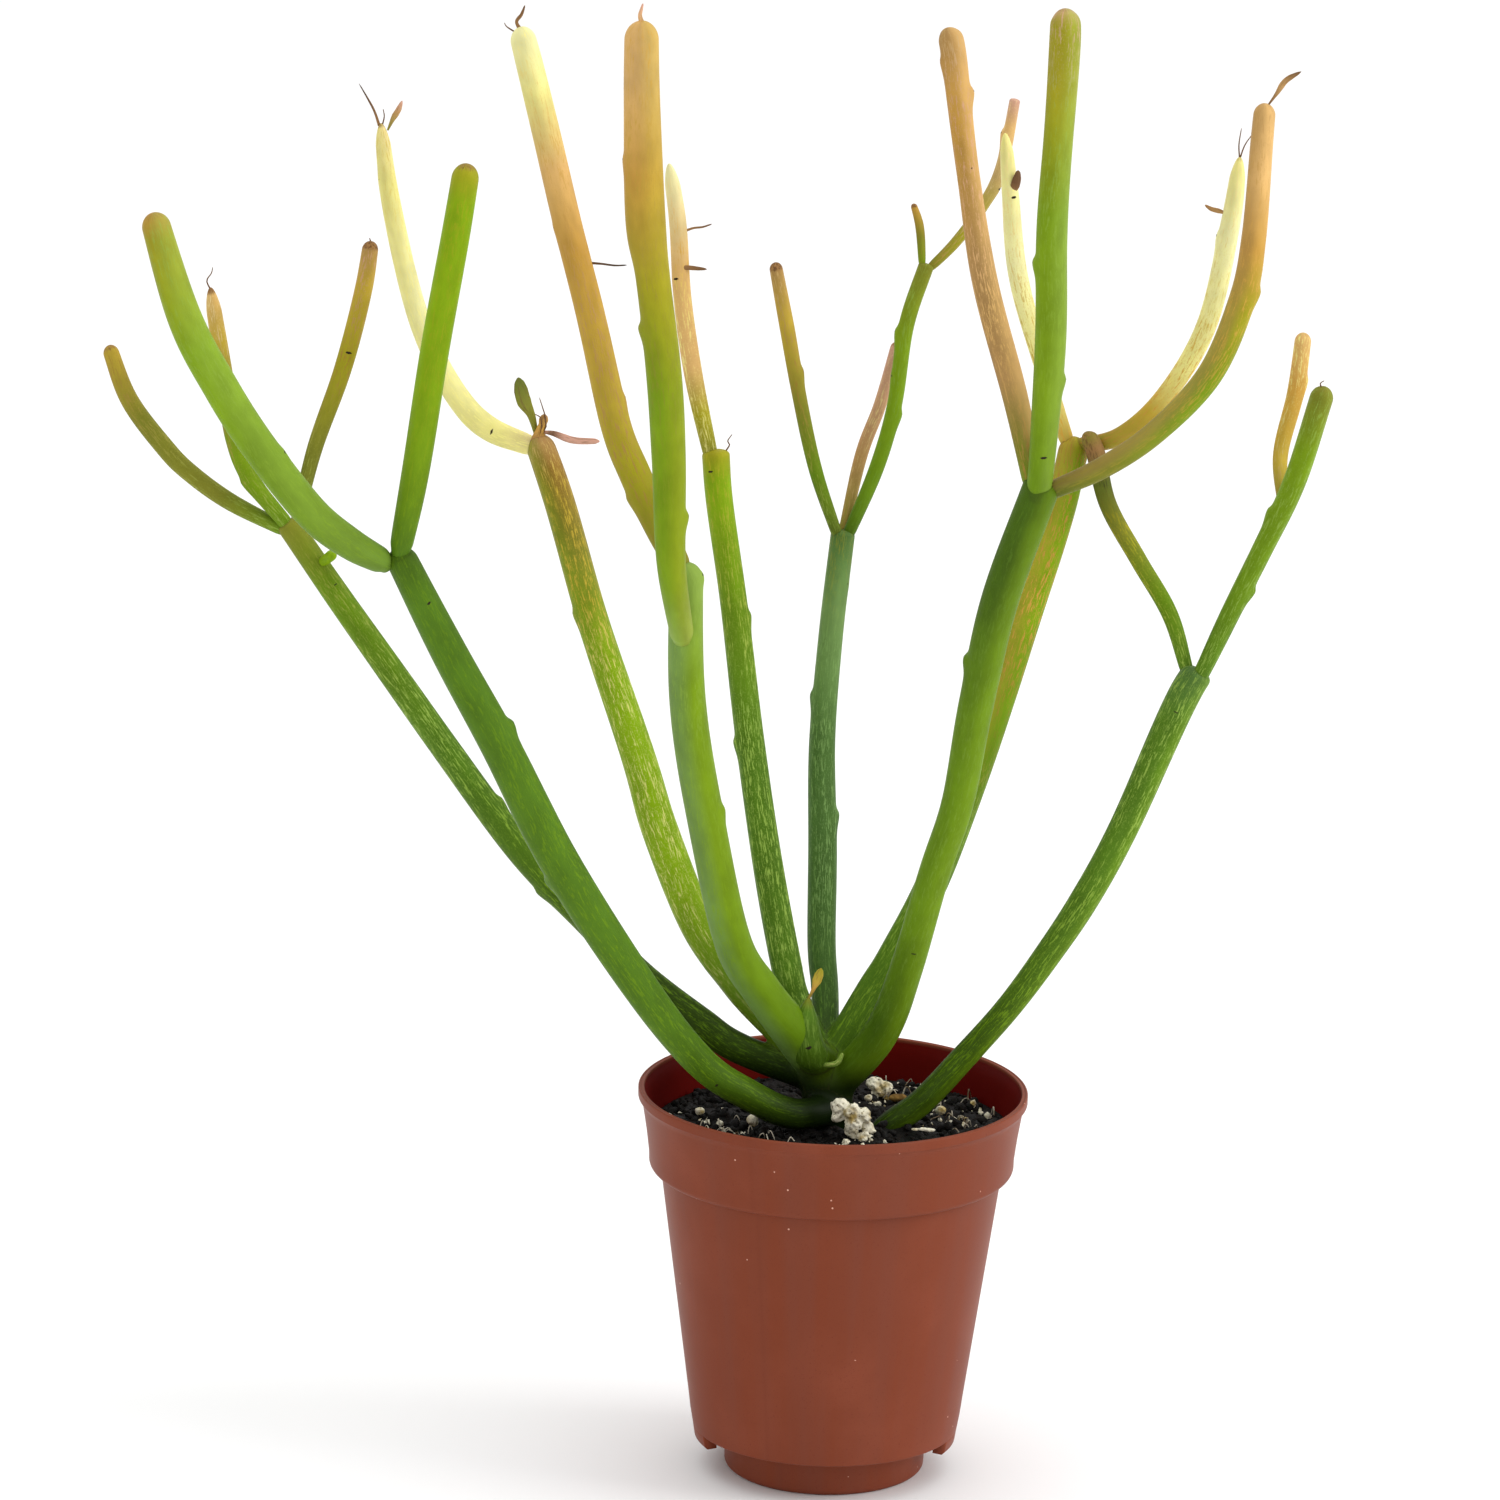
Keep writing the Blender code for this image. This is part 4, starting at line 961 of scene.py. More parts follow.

# Its first tone is painted shade where it leaves the soil.
ROOTED = Plan("stem_far_right", "soil", (0, 0, 0),
              ((0.4, 0, 0.2, 2.05), (5.5, 1, 4, 2.05), (11.5, 2, 10.5, 2.0), (18, 2, 18.5, 1.98),
               (24, 3, 27, 2.1), (29.5, 3, 36, 2.25), (35, 4, 47, 2.3), (43, 5, 66.5, 2.45),
               (46, 5, 72.5, 2.35)), "0 PITH, 0.08 DARK_MOSS, 0.3 MOSS, 0.6 FERN, 0.9 FERN, 1 SAGE",
              "0 MOSS 0.3, 0.3 LEAF 0.7, 0.8 PALE_LEAF 0.6, 1 PALE_LEAF 0.4", "deep_green", tip=Tip.STUB,
              flank=(100, Hue.GRASS, 0.35), cork=(0.8, 0.25),
              scars=(Scar(0.14, 10, 0.15, 1.0), Scar(0.92, -5, 0.25, 1.2)))

BRANCHES = (
    Plan("branch_left_front_low", "stem_left_front", (-1, -0.3, 0),
         ((-6.5, -4.4, 1.6, 2.3), (-12.1, -8.4, 7.1, 2.5), (-19.1, -13.4, 17.4, 2.6),
          (-24.6, -16.4, 26.8, 2.6), (-29.6, -19.4, 37.3, 2.5), (-34.1, -22.4, 53.3, 2.0)),
         "0 FERN, 0.2 LEAF, 0.7 LIME, 0.95 MUSTARD, 1 AMBER", "0 GRASS 0.25, 1 PALE_LEAF 0.3", "leaf_green",
         cork=(1.2, 0.5), start=(-1.4, 0.5, -2.4), flank=(60, Hue.PALE_LEAF, 0.35),
         scars=(Scar(0.4, 90, 0.3, 0.4),)),
    Plan("branch_left_front_high", "stem_left_front", (1, 0.3, 0),
         ((2.6, -1.4, 10.8, 2.0), (5.2, -2.4, 28.8, 2.1), (8.1, -2.4, 46.8, 2.1), (9.8, -2.4, 57.8, 2.0)),
         "0 FERN, 0.15 LEAF, 0.5 LIME, 0.9 LIME, 1 MUSTARD", "0 GRASS 0.2, 1 MUSTARD 0.35", "yellow_green",
         cork=(1.2, 0.6), start=(0.5, -0.2, -0.9), scars=(Scar(0.42, 0, 0.25, 0.0),)),
    Plan("branch_left_back_low", "stem_left_back", (-1, 0, -0.6),
         ((-8.6, 2.3, 2.2, 1.38), (-15, 4.2, 6.2, 1.45), (-19, 5.5, 9.8, 1.48), (-24.6, 7, 16.9, 1.4),
          (-27.9, 8, 25.2, 1.2)), "0 LEAF, 0.3 OLIVE, 0.7 OLIVE, 1 GOLD", "0 PALE_LEAF 0.4, 1 RUST 0.6",
         "olive", skin="dry", cork=(1.2, 0.6), sides=28),
    Plan("branch_left_back_middle", "stem_left_back", (-0.3, -1, 0.4),
         ((-5.1, -0.2, 6, 1.35), (-7.9, 0.5, 12.3, 1.4), (-9.5, 0.8, 21.6, 1.38), (-11.8, 1, 36, 1.1)),
         "0 LEAF, 0.35 GRASS, 0.6 OLIVE, 0.8 GOLD, 1 PEACH", "0 PALE_LEAF 0.5, 0.6 RUST 0.5, 1 SAND 0.6",
         "gold", skin="dry", tip=Tip.POINTED, cork=(1.4, 0.7), scars=(Scar(0.25, -80, 0.3, 0.4),), sides=28),
    Plan("branch_left_back_high", "stem_left_back", (1, 0.6, 0.4),
         ((4, 5, 10, 1.2), (8, 8, 22, 1.35), (11, 10, 34, 1.35), (12.2, 11, 41.8, 1.2)),
         "0 DARK_OLIVE, 0.3 OLIVE, 0.6 MUSTARD, 0.85 GOLD, 1 COPPER",
         "0 PALE_LEAF 0.6, 0.6 RUST 0.5, 1 ROSE 0.5", "olive", skin="dry", cork=(1.6, 0.8),
         scars=(Scar(0.62, 10, 0.2, 0.9),), sides=28),
    Plan("branch_left_upright", "stem_left_upright", (-1, 0.3, 0),
         ((-7.2, 3, 0.0, 1.9), (-11.9, 5, 4.0, 1.85), (-16.7, 6.7, 11.9, 1.7), (-20, 8.2, 20.7, 1.6),
          (-23.1, 10, 34, 1.45), (-24.8, 11, 45.7, 1.0)),
         "0 SAND, 0.1 CREAM, 0.5 IVORY, 0.85 CREAM, 1 SAND", "0 CREAM 0.6, 0.5 CREAM 0.35, 1 GOLD 0.5",
         "pale_yellow", skin="pale", tip=Tip.POINTED, flank=(-60, Hue.CREAM, 0.5), cork=(1.0, 0.6),
         scars=(Scar(0.12, 0, 0.15, 0.9), Scar(0.86, -60, 0.1, 0.6)), sides=30),
    Plan("branch_front_low", "stem_front", (-0.2, -1, -0.3),
         ((-2.2, -9, 2.5, 2.2), (-2.8, -12, 18.5, 2.5), (-3.6, -14, 30.5, 2.6), (-5.5, -15.5, 45.5, 2.5),
          (-6.7, -17, 54.5, 2.9), (-7.5, -18.5, 72, 2.6), (-7.7, -19, 83.5, 2.4)),
         "0 PALE_LEAF, 0.15 GRASS, 0.45 GRASS, 0.62 MUSTARD, 0.78 AMBER, 0.92 PEACH, 1 PEACH",
         "0 GRASS 0.2, 0.5 OLIVE 0.4, 1 AMBER 0.4", "fire_orange", start=(-0.4, 2.6, -12.0), seam=0.12,
         flank=(75, Hue.MUSTARD, 0.35), cork=(0.8, 0.25),
         scars=(Scar(0.26, 90, 0.5, 0.4), Scar(0.55, -88, 0.5, 0.4), Scar(0.8, -90, 0.2, 0.8))),
    Plan("branch_front_high", "stem_front", (-1, 1, 0),
         ((-4.1, 2.1, 4.9, 2.2), (-7.8, 4, 12.4, 2.35), (-11, 6, 20, 2.25), (-15.5, 9, 37.5, 2.15),
          (-19.5, 11, 52, 2.1), (-24, 13, 69.5, 2.05), (-26, 14, 76.8, 1.9)),
         "0 OLIVE, 0.2 MUSTARD, 0.35 GOLD, 0.6 AMBER, 0.75 PEACH, 0.88 CREAM, 1 IVORY",
         "0 RUST 0.4, 0.5 COPPER 0.6, 0.8 AMBER 0.4, 1 CREAM 0.4", "fire_orange", skin="dry",
         cork=(0.6, 0.3),
         scars=(Scar(0.65, -60, 0.3, 1.0), Scar(0.33, 90, 0.2, 0.7), Scar(0.16, -90, 0.3, 0.0))),
    Plan("branch_back_left", "stem_back_left", (-1, 0, 0),
         ((-3.5, 2, 10.5, 1.4), (-5.5, 4, 22.5, 1.35), (-6.5, 5, 34, 1.3), (-8, 6, 43, 1.05)),
         "0 OLIVE, 0.16 MUSTARD, 0.32 PEACH, 0.65 PEACH, 0.85 SAND, 1 IVORY",
         "0 CREAM 0.35, 0.4 CREAM 0.5, 0.7 AMBER 0.7, 1 SAND 0.4", "gold", skin="dry", tip=Tip.POINTED,
         scars=(Scar(0.62, -30, 0.2, 0.9),), sides=28),
    Plan("branch_back_low", "stem_back", (-1, -0.5, 0),
         ((-4.5, -3, 10, 1.05), (-7.5, -6, 23, 1.1), (-9.5, -8, 33.5, 1.15), (-11.5, -9, 43.5, 1.0)),
         "0 DARK_OLIVE, 0.25 LEAF, 0.5 OLIVE, 0.8 GOLD, 1 COPPER",
         "0 PALE_LEAF 0.4, 0.6 RUST 0.5, 1 TAN 0.6", "olive", skin="dry", cork=(1.4, 0.8),
         scars=(Scar(0.62, 88, 0.3, 0.4),), sides=26),
    Plan("branch_back_high", "stem_back", (1, -0.3, 0),
         ((5, 2.5, 9.5, 1.2), (7.5, 4.5, 19, 1.2), (9, 6.5, 31, 1.25), (12, 8.5, 40.5, 1.25)),
         "0 MOSS, 0.2 LEAF, 0.7 GRASS, 1 OLIVE", "0 FERN 0.3, 1 PALE_LEAF 0.3", "leaf_green", tip=Tip.STUB,
         cork=(0.7, 0.3),
         scars=(Scar(0.47, 85, 0.35, 0.5), Scar(0.6, -60, 0.15, 0.8), Scar(0.75, -88, 0.4, 0.6)), sides=28),
    Plan("branch_back_middle", "stem_back", (-0.1, 1, 0),
         ((2.5, 7, 10, 1.0), (5.4, 9.5, 18, 1.0), (7.8, 11, 27.5, 0.9)), "0 OLIVE, 0.4 COPPER, 1 ROSE",
         "0 RUST 0.5, 1 SAND 0.5", "copper", skin="dry", cork=(1.2, 0.6), sides=24),
    Plan("twig_back_left", "branch_back_high", (-1, 0, 0), ((-1.3, 0, 5.5, 0.7), (-2.4, 0, 9.3, 0.5)),
         "0 GRASS, 0.5 OLIVE, 1 AMBER", "0 OLIVE 0.4, 1 RUST 0.5", "olive", skin="dry", cork=(0.8, 0.7),
         sides=22),
    Plan("twig_back_right", "branch_back_high", (1, 0.3, 0),
         ((4.5, 2, 3.2, 0.85), (8.5, 4, 8.5, 0.92), (11.2, 5, 14.5, 0.95), (13, 6, 25, 0.85)),
         "0 OLIVE, 0.35 MUSTARD, 0.6 TAN, 0.85 PEACH, 1 ROSE", "0 RUST 0.4, 1 SAND 0.5", "copper",
         skin="dry", tip=Tip.STUB, scars=(Scar(0.82, -88, 0.4, 0.5), Scar(0.55, 60, 0.2, 0.6)), sides=24),
    Plan("branch_right_front_low", "stem_right_front", (-0.8, 0.6, 0),
         ((-4.5, 2, 11.5, 1.9), (-9.5, 3.5, 29, 1.9), (-12.3, 4.5, 44, 1.65), (-14.8, 5.5, 61, 1.85),
          (-15.9, 6, 65.6, 1.75)), "0 LEAF, 0.1 OLIVE, 0.25 COPPER, 0.5 COPPER, 0.8 AMBER, 1 COPPER",
         "0 RUST 0.5, 0.4 PEACH 0.5, 0.8 ROSE 0.5, 1 TAN 0.6", "copper", skin="dry",
         flank=(80, Hue.PEACH, 0.6), cork=(1.2, 0.35),
         scars=(Scar(0.86, 88, 0.55, 0.5), Scar(0.93, -80, 0.3, 0.0), Scar(0.7, 20, 0.15, 0.6))),
    Plan("branch_right_front_high", "stem_right_front", (-0.1, -1, 0),
         ((0, -7, 19.5, 2.25), (-0.4, -10, 37.5, 2.3), (0, -12, 52.5, 2.15), (0.5, -14, 67.5, 2.3),
          (0.4, -14, 72, 2.0)), "0 LEAF, 0.25 GRASS, 0.6 GRASS, 0.85 MUSTARD, 0.97 MUSTARD, 1 TAN",
         "0 GRASS 0.25, 0.8 PALE_LEAF 0.3, 1 ROSE 0.5", "leaf_green", flank=(80, Hue.PALE_LEAF, 0.4),
         cork=(0.7, 0.5),
         scars=(Scar(0.5, -92, 0.5, 0.4), Scar(0.26, 92, 0.4, 0.4), Scar(0.1, 5, 0.1, 1.2))),
    Plan("branch_right_front_side", "stem_right_front", (1, 0.3, 0),
         ((8.1, -1.8, 2.1, 1.65), (15.9, -2, 7.8, 1.75), (23.7, -1, 16.5, 1.92), (28, 0, 27.4, 1.98),
          (29.4, 1, 36.4, 1.85), (30.2, 3, 50.5, 1.7), (30.5, 3, 56, 1.6)),
         "0 DARK_OLIVE, 0.15 OLIVE, 0.4 GRASS, 0.58 MUSTARD, 0.7 AMBER, 0.85 PEACH, 1 PEACH",
         "0 OLIVE 0.3, 0.6 AMBER 0.4, 1 COPPER 0.4", "fire_orange", flank=(-75, Hue.COPPER, 0.5),
         cork=(0.6, 0.25), scars=(Scar(0.62, 90, 0.4, 0.4),), sides=32),
    Plan("branch_right_back_low", "stem_right_back", (-1, 0.2, 0),
         ((-6, 2, 12.5, 1.4), (-9.5, 4, 24.5, 1.5), (-11, 6, 36.5, 1.3), (-12, 7, 45.5, 0.9)),
         "0 GOLD, 0.25 CREAM, 0.6 IVORY, 1 CREAM", "0 AMBER 0.8, 0.35 GOLD 0.6, 1 SAND 0.4", "pale_yellow",
         skin="pale", tip=Tip.POINTED, scars=(Scar(0.8, 20, 0.2, 0.8),), sides=28),
    Plan("branch_right_back_high", "stem_right_back", (1, -0.3, 0),
         ((6.7, -3, 0.9, 1.4), (13.2, -5, 7.7, 1.45), (18.9, -7, 19.1, 1.53), (21.9, -9, 35, 1.5),
          (22.9, -10, 45.7, 1.0)), "0 OLIVE, 0.25 GOLD, 0.4 CREAM, 0.8 IVORY, 1 CREAM",
         "0 RUST 0.7, 0.35 AMBER 0.8, 0.6 GOLD 0.4, 1 SAND 0.4", "pale_yellow", skin="pale",
         tip=Tip.POINTED, below=1.5, cork=(1.0, 0.5), scars=(Scar(0.78, -90, 0.25, 0.6),), sides=28),
    Plan("branch_far_right_low", "stem_far_right", (-1, 0.5, 0),
         ((-4.5, 3, 7.4, 1.25), (-9.6, 6, 15.4, 1.3), (-14.4, 8, 23.5, 1.35), (-16.6, 9, 31.5, 1.45),
          (-18.2, 9.5, 34.5, 1.2)), "0 FERN, 0.3 LEAF, 0.6 OLIVE, 0.8 DARK_OLIVE, 0.93 CORK, 1 OLIVE",
         "0 PALE_LEAF 0.6, 0.6 MUSTARD 0.6, 0.8 SOOT 0.45, 1 BARK 0.5", "olive", skin="dry",
         cork=(1.4, 0.6), sides=28),
    Plan("branch_far_right_high", "stem_far_right", (1, -0.5, 0),
         ((3.5, -2, 7.5, 1.5), (8.5, -5, 20, 1.6), (13, -8, 32, 1.75), (16.6, -11, 46.6, 1.8)),
         "0 FERN, 0.3 LEAF, 0.8 GRASS, 1 OLIVE", "0 PALE_LEAF 0.4, 1 PALE_LEAF 0.35", "leaf_green",
         cork=(0.8, 0.45), scars=(Scar(0.33, 92, 0.45, 0.4), Scar(0.58, -95, 0.4, 0.5)), sides=32),
    Plan("twig_far_right", "branch_far_right_high", (-0.5, 1, 0),
         ((-5.5, 11.5, -13, 1.15), (-3.4, 14.5, -4, 1.3), (-2.4, 16, 5, 1.25)),
         "0 OLIVE, 0.3 GOLD, 0.7 AMBER, 1 PEACH", "0 RUST 0.5, 1 CREAM 0.5", "fire_orange", skin="dry",
         below=20.5, cork=(1.0, 0.5), scars=(Scar(0.75, 90, 0.3, 0.5),), sides=26),
    Plan("stem_bud", "stem_left_back", (0.5, -0.8, 0.3), ((7.3, -4.6, -4.2, 0.85), (7.6, -4.9, -3.6, 0.7)),
         "0 GRASS, 1 LIME", "0 FERN 0.2, 1 FERN 0.2", "leaf_green", below=8.5, sides=20),
)

SHOOT = Plan("young_shoot", "crown", (-0.1, -0.2, 0.6),
             ((-2.4, -7.2, 5.4, 2.65), (-3.0, -8.8, 10.3, 2.0), (-2.7, -9.2, 14.4, 1.0)),
             "0 DARK_MOSS, 0.5 MOSS, 0.9 FERN, 1 OLIVE", "0 FERN 0.3, 1 PALE_LEAF 0.3", "leaf_green",
             tip=Tip.POINTED, scars=(Scar(0.6, 8, 0.3, 0.9),))
BEAK = Plan("crown_bud", "crown", (0.2, -0.5, 0.5),
            ((-1.8, -6.2, 3.4, 0.3), (0.4, -7.0, 3.1, 0.42), (2.1, -6.8, 3.5, 0.42),
             (2.8, -6.2, 4.8, 0.28)), "0 MOSS, 0.6 FERN, 1 PALE_LEAF", "0 LEAF 0.3, 1 CREAM 0.3",
            "leaf_green", sides=20)


@dataclass
class Plant:
    """All the growths: eight stems on the crown, one with its own root, branches and buds."""

    seats: Seats = field(default_factory=Seats)
    cut: float = 15.0  # how far out a stem's own tube takes over from the crown's skin
    cell: float = 0.4
    blend: float = 0.9
    bud_cut: float = 6.0

    def __post_init__(self) -> None:
        """Lays out every growth, carriers first."""
        centre = np.array(self.seats.crown)
        self.growths: dict[str, Growth] = {}
        for plan in (*STEMS, SHOOT, BEAK):
            start = centre + (plan.start or 2.0 * unit(plan.side))
            self.growths[plan.name] = Growth(plan, centre, start, plan.route[0][3])
        rooted = np.array(self.seats.rooted)
        self.growths[ROOTED.name] = Growth(ROOTED, rooted, rooted + self.seats.rooted_foot, 1.9)
        for plan in BRANCHES:
            self.growths[plan.name] = self.branch(plan)

    def branch(self, plan: Plan) -> Growth:
        """Lays out a branch from inside its carrier's end, or from inside its side."""
        carrier = self.growths[plan.carrier]
        end, along, radius = carrier.end()
        first_radius = plan.route[0][3] * 0.8
        if plan.start:
            start = end + plan.start
        elif plan.below:
            place = carrier.at(np.array([carrier.length - plan.below]))
            start = place["centre"][0]
        else:
            side = np.array(plan.side, float)
            side = unit(side - side @ along * along)
            start = end - 0.9 * radius * along + 0.3 * radius * side
        return Growth(plan, end, start, first_radius)

    def neighbours(self, name: str) -> tuple:
        """The growths that meet this one: its carrier, and the branches that it carries."""
        plan = self.growths[name].plan
        met = [self.growths[plan.carrier]] if plan.carrier in self.growths else []
        met += [other for other in self.growths.values() if other.plan.carrier == name]
        return tuple(met)

    def crown_field(self, points: np.ndarray) -> tuple:
        """The blended field round the crown.

        Each foot's field is the distance from its skin, and beyond the cut the foot narrows, so
        that its end lies inside the stem's own tube. The trunk is an upright capsule.

        Args:
            points: Places, in millimetres.

        Returns:
            The field, and for each foot its name, its field, and its place and angle.
        """
        centre = np.array(self.seats.crown)
        drop = np.clip(points[:, 2], self.seats.trunk_foot, centre[2] - 1.5)
        axis = np.stack(np.broadcast_arrays(centre[0] + 0.6, centre[1] - 1.0, drop), axis=1)
        offset = points - axis
        flare = 0.5 * smooth_step(-points[:, 2], -centre[2] - 2, -self.seats.soil_top)
        total = np.linalg.norm(offset, axis=1) - self.seats.trunk_radius + flare
        feet = []
        for plan in (*STEMS, SHOOT):
            growth = self.growths[plan.name]
            cut = self.bud_cut if plan is SHOOT else self.cut
            within = (points > growth.centre.min(0) - 6).all(1) & (points < growth.centre.max(0) + 6).all(1)
            gap = np.full(len(points), 9.0)
            along, angle = np.full(len(points), 99.0), np.zeros(len(points))
            gap[within], along[within], angle[within] = growth.locate(points[within])
            past = np.maximum(along - cut, 0)
            gap = gap + 0.35 * past ** 1.5
            feet.append((growth, gap, along, angle))
            total = smooth_least(total, gap, self.blend)
        return total, feet

    def paint_foot_shade(self, points: np.ndarray, tint: np.ndarray, fleck: np.ndarray) -> None:
        """Paints shade onto the skin low on the crown and on the feet, in place, less with distance from it.
        """
        centre = np.array(self.seats.crown)
        away = np.hypot(points[:, 0] - centre[0], points[:, 1] - centre[1])
        low = 1 - smooth_step(points[:, 2], centre[2] - 2.0, centre[2] + 5.0)
        foot_shade = low * (1 - smooth_step(away, 6, 25))
        # Painted shade: the tint goes most of the way to a near-black green and the flecks fade.
        tint[:, :3] += (linear(Hue.PITH.value) - tint[:, :3]) * 0.96 * foot_shade[:, None]
        fleck[:, 3] *= 1 - foot_shade

    def build_crown(self) -> bpy.types.Object:
        """The crown's skin: the zero surface of the blended field, coloured by the nearest foot."""
        centre = np.array(self.seats.crown)
        points, quads = zero_surface(lambda places: self.crown_field(places)[0], centre - (21, 19, 22),
                                     centre + (19, 19, 21), self.cell)
        _, feet = self.crown_field(points)
        weights, tints, flecks = [], [], []
        for growth, gap, along, angle in feet:
            weights.append(np.exp(-np.maximum(gap, -2) / 0.45))
            tint, fleck = growth.colours(np.minimum(along, growth.length), angle)
            tints.append(tint)
            flecks.append(fleck)
        share = np.array(weights) / np.sum(weights, axis=0)
        tint = (share[..., None] * np.array(tints)).sum(0)
        fleck = (share[..., None] * np.array(flecks)).sum(0)
        # Painted shade low on the crown and round the feet.
        self.paint_foot_shade(points, tint, fleck)
        best = np.argmin([gap for _, gap, _, _ in feet], axis=0)
        along = np.choose(best, [foot[2] for foot in feet])
        angle = np.choose(best, [foot[3] for foot in feet])
        mean = np.array([foot[0].radius.mean() for foot in feet])[best]
        grown = turned(mean, angle, along)
        # Painted shade: a dark line in the groove where two feet meet.
        ranked = np.sort([gap for _, gap, _, _ in feet], axis=0)
        crease_shade = 0.75 * np.exp(-((ranked[1] - ranked[0]) / 0.3) ** 2)
        marks = np.stack([np.zeros(len(points)), np.zeros(len(points)), crease_shade], axis=1)
        return add_piece("crown_skin", points, [quads], "deep_green", ("crown",),
                         {"tint": tint, "fleck": fleck, "grown": grown, "marks": marks})

    def build(self) -> list:
        """Builds the crown and every growth, and dresses them.

        Returns:
            The pieces.
        """
        skins = {"green": StemSkin("euphorbia skin, waxy green").build(),
                 "pale": StemSkin("euphorbia skin, young and pale", roughness=0.42, glow=0.3).build(),
                 "dry": StemSkin("euphorbia skin, sunburnt and striated", roughness=0.55,
                                 fleck_width=0.2, fleck_length=1.6).build()}
        pieces = [self.build_crown()]
        pieces[0].data.materials.append(skins["green"])
        on_crown = {plan.name for plan in STEMS}
        for name, growth in self.growths.items():
            start = self.cut - 2.5 if name in on_crown else self.bud_cut - 1.5 if name == SHOOT.name else 0.0
            points, faces, attributes = growth.skin(start, self.neighbours(name))
            # The stems' tubes take the same painted shade near the crown, so that it runs on over the cut.
            if name in on_crown:
                self.paint_foot_shade(points, attributes["tint"], attributes["fleck"])
            piece = add_piece(f"{name}_skin", points, faces, growth.plan.slot, (name,), attributes)
            piece.data.materials.append(skins[growth.plan.skin])
            pieces.append(piece)
        return pieces


# ---- The leaves and bracts ------------------------------------------------------------------


@dataclass(frozen=True)
class Blade:
    """A small leaf, bract or bristle.

    Attributes:
        name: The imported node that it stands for.
        carrier: The growth that it sits on.
        below: How far under the carrier's end, in millimetres.
        side: Which way its foot is off the carrier's axis.
        run: Points of its midline from its foot, in millimetres.
        width: Half its width.
        tones: Colour stops from foot to tip.
        shape: Shares of the half width at even steps along it.
        slot: The record's material slot.
        thickness: Half its thickness.
    """

    name: str
    carrier: str
    below: float
    side: tuple
    run: tuple
    width: float
    tones: str
    slot: str
    shape: tuple = (0.3, 0.75, 1.0, 0.8, 0.25)
    thickness: float = 0.13


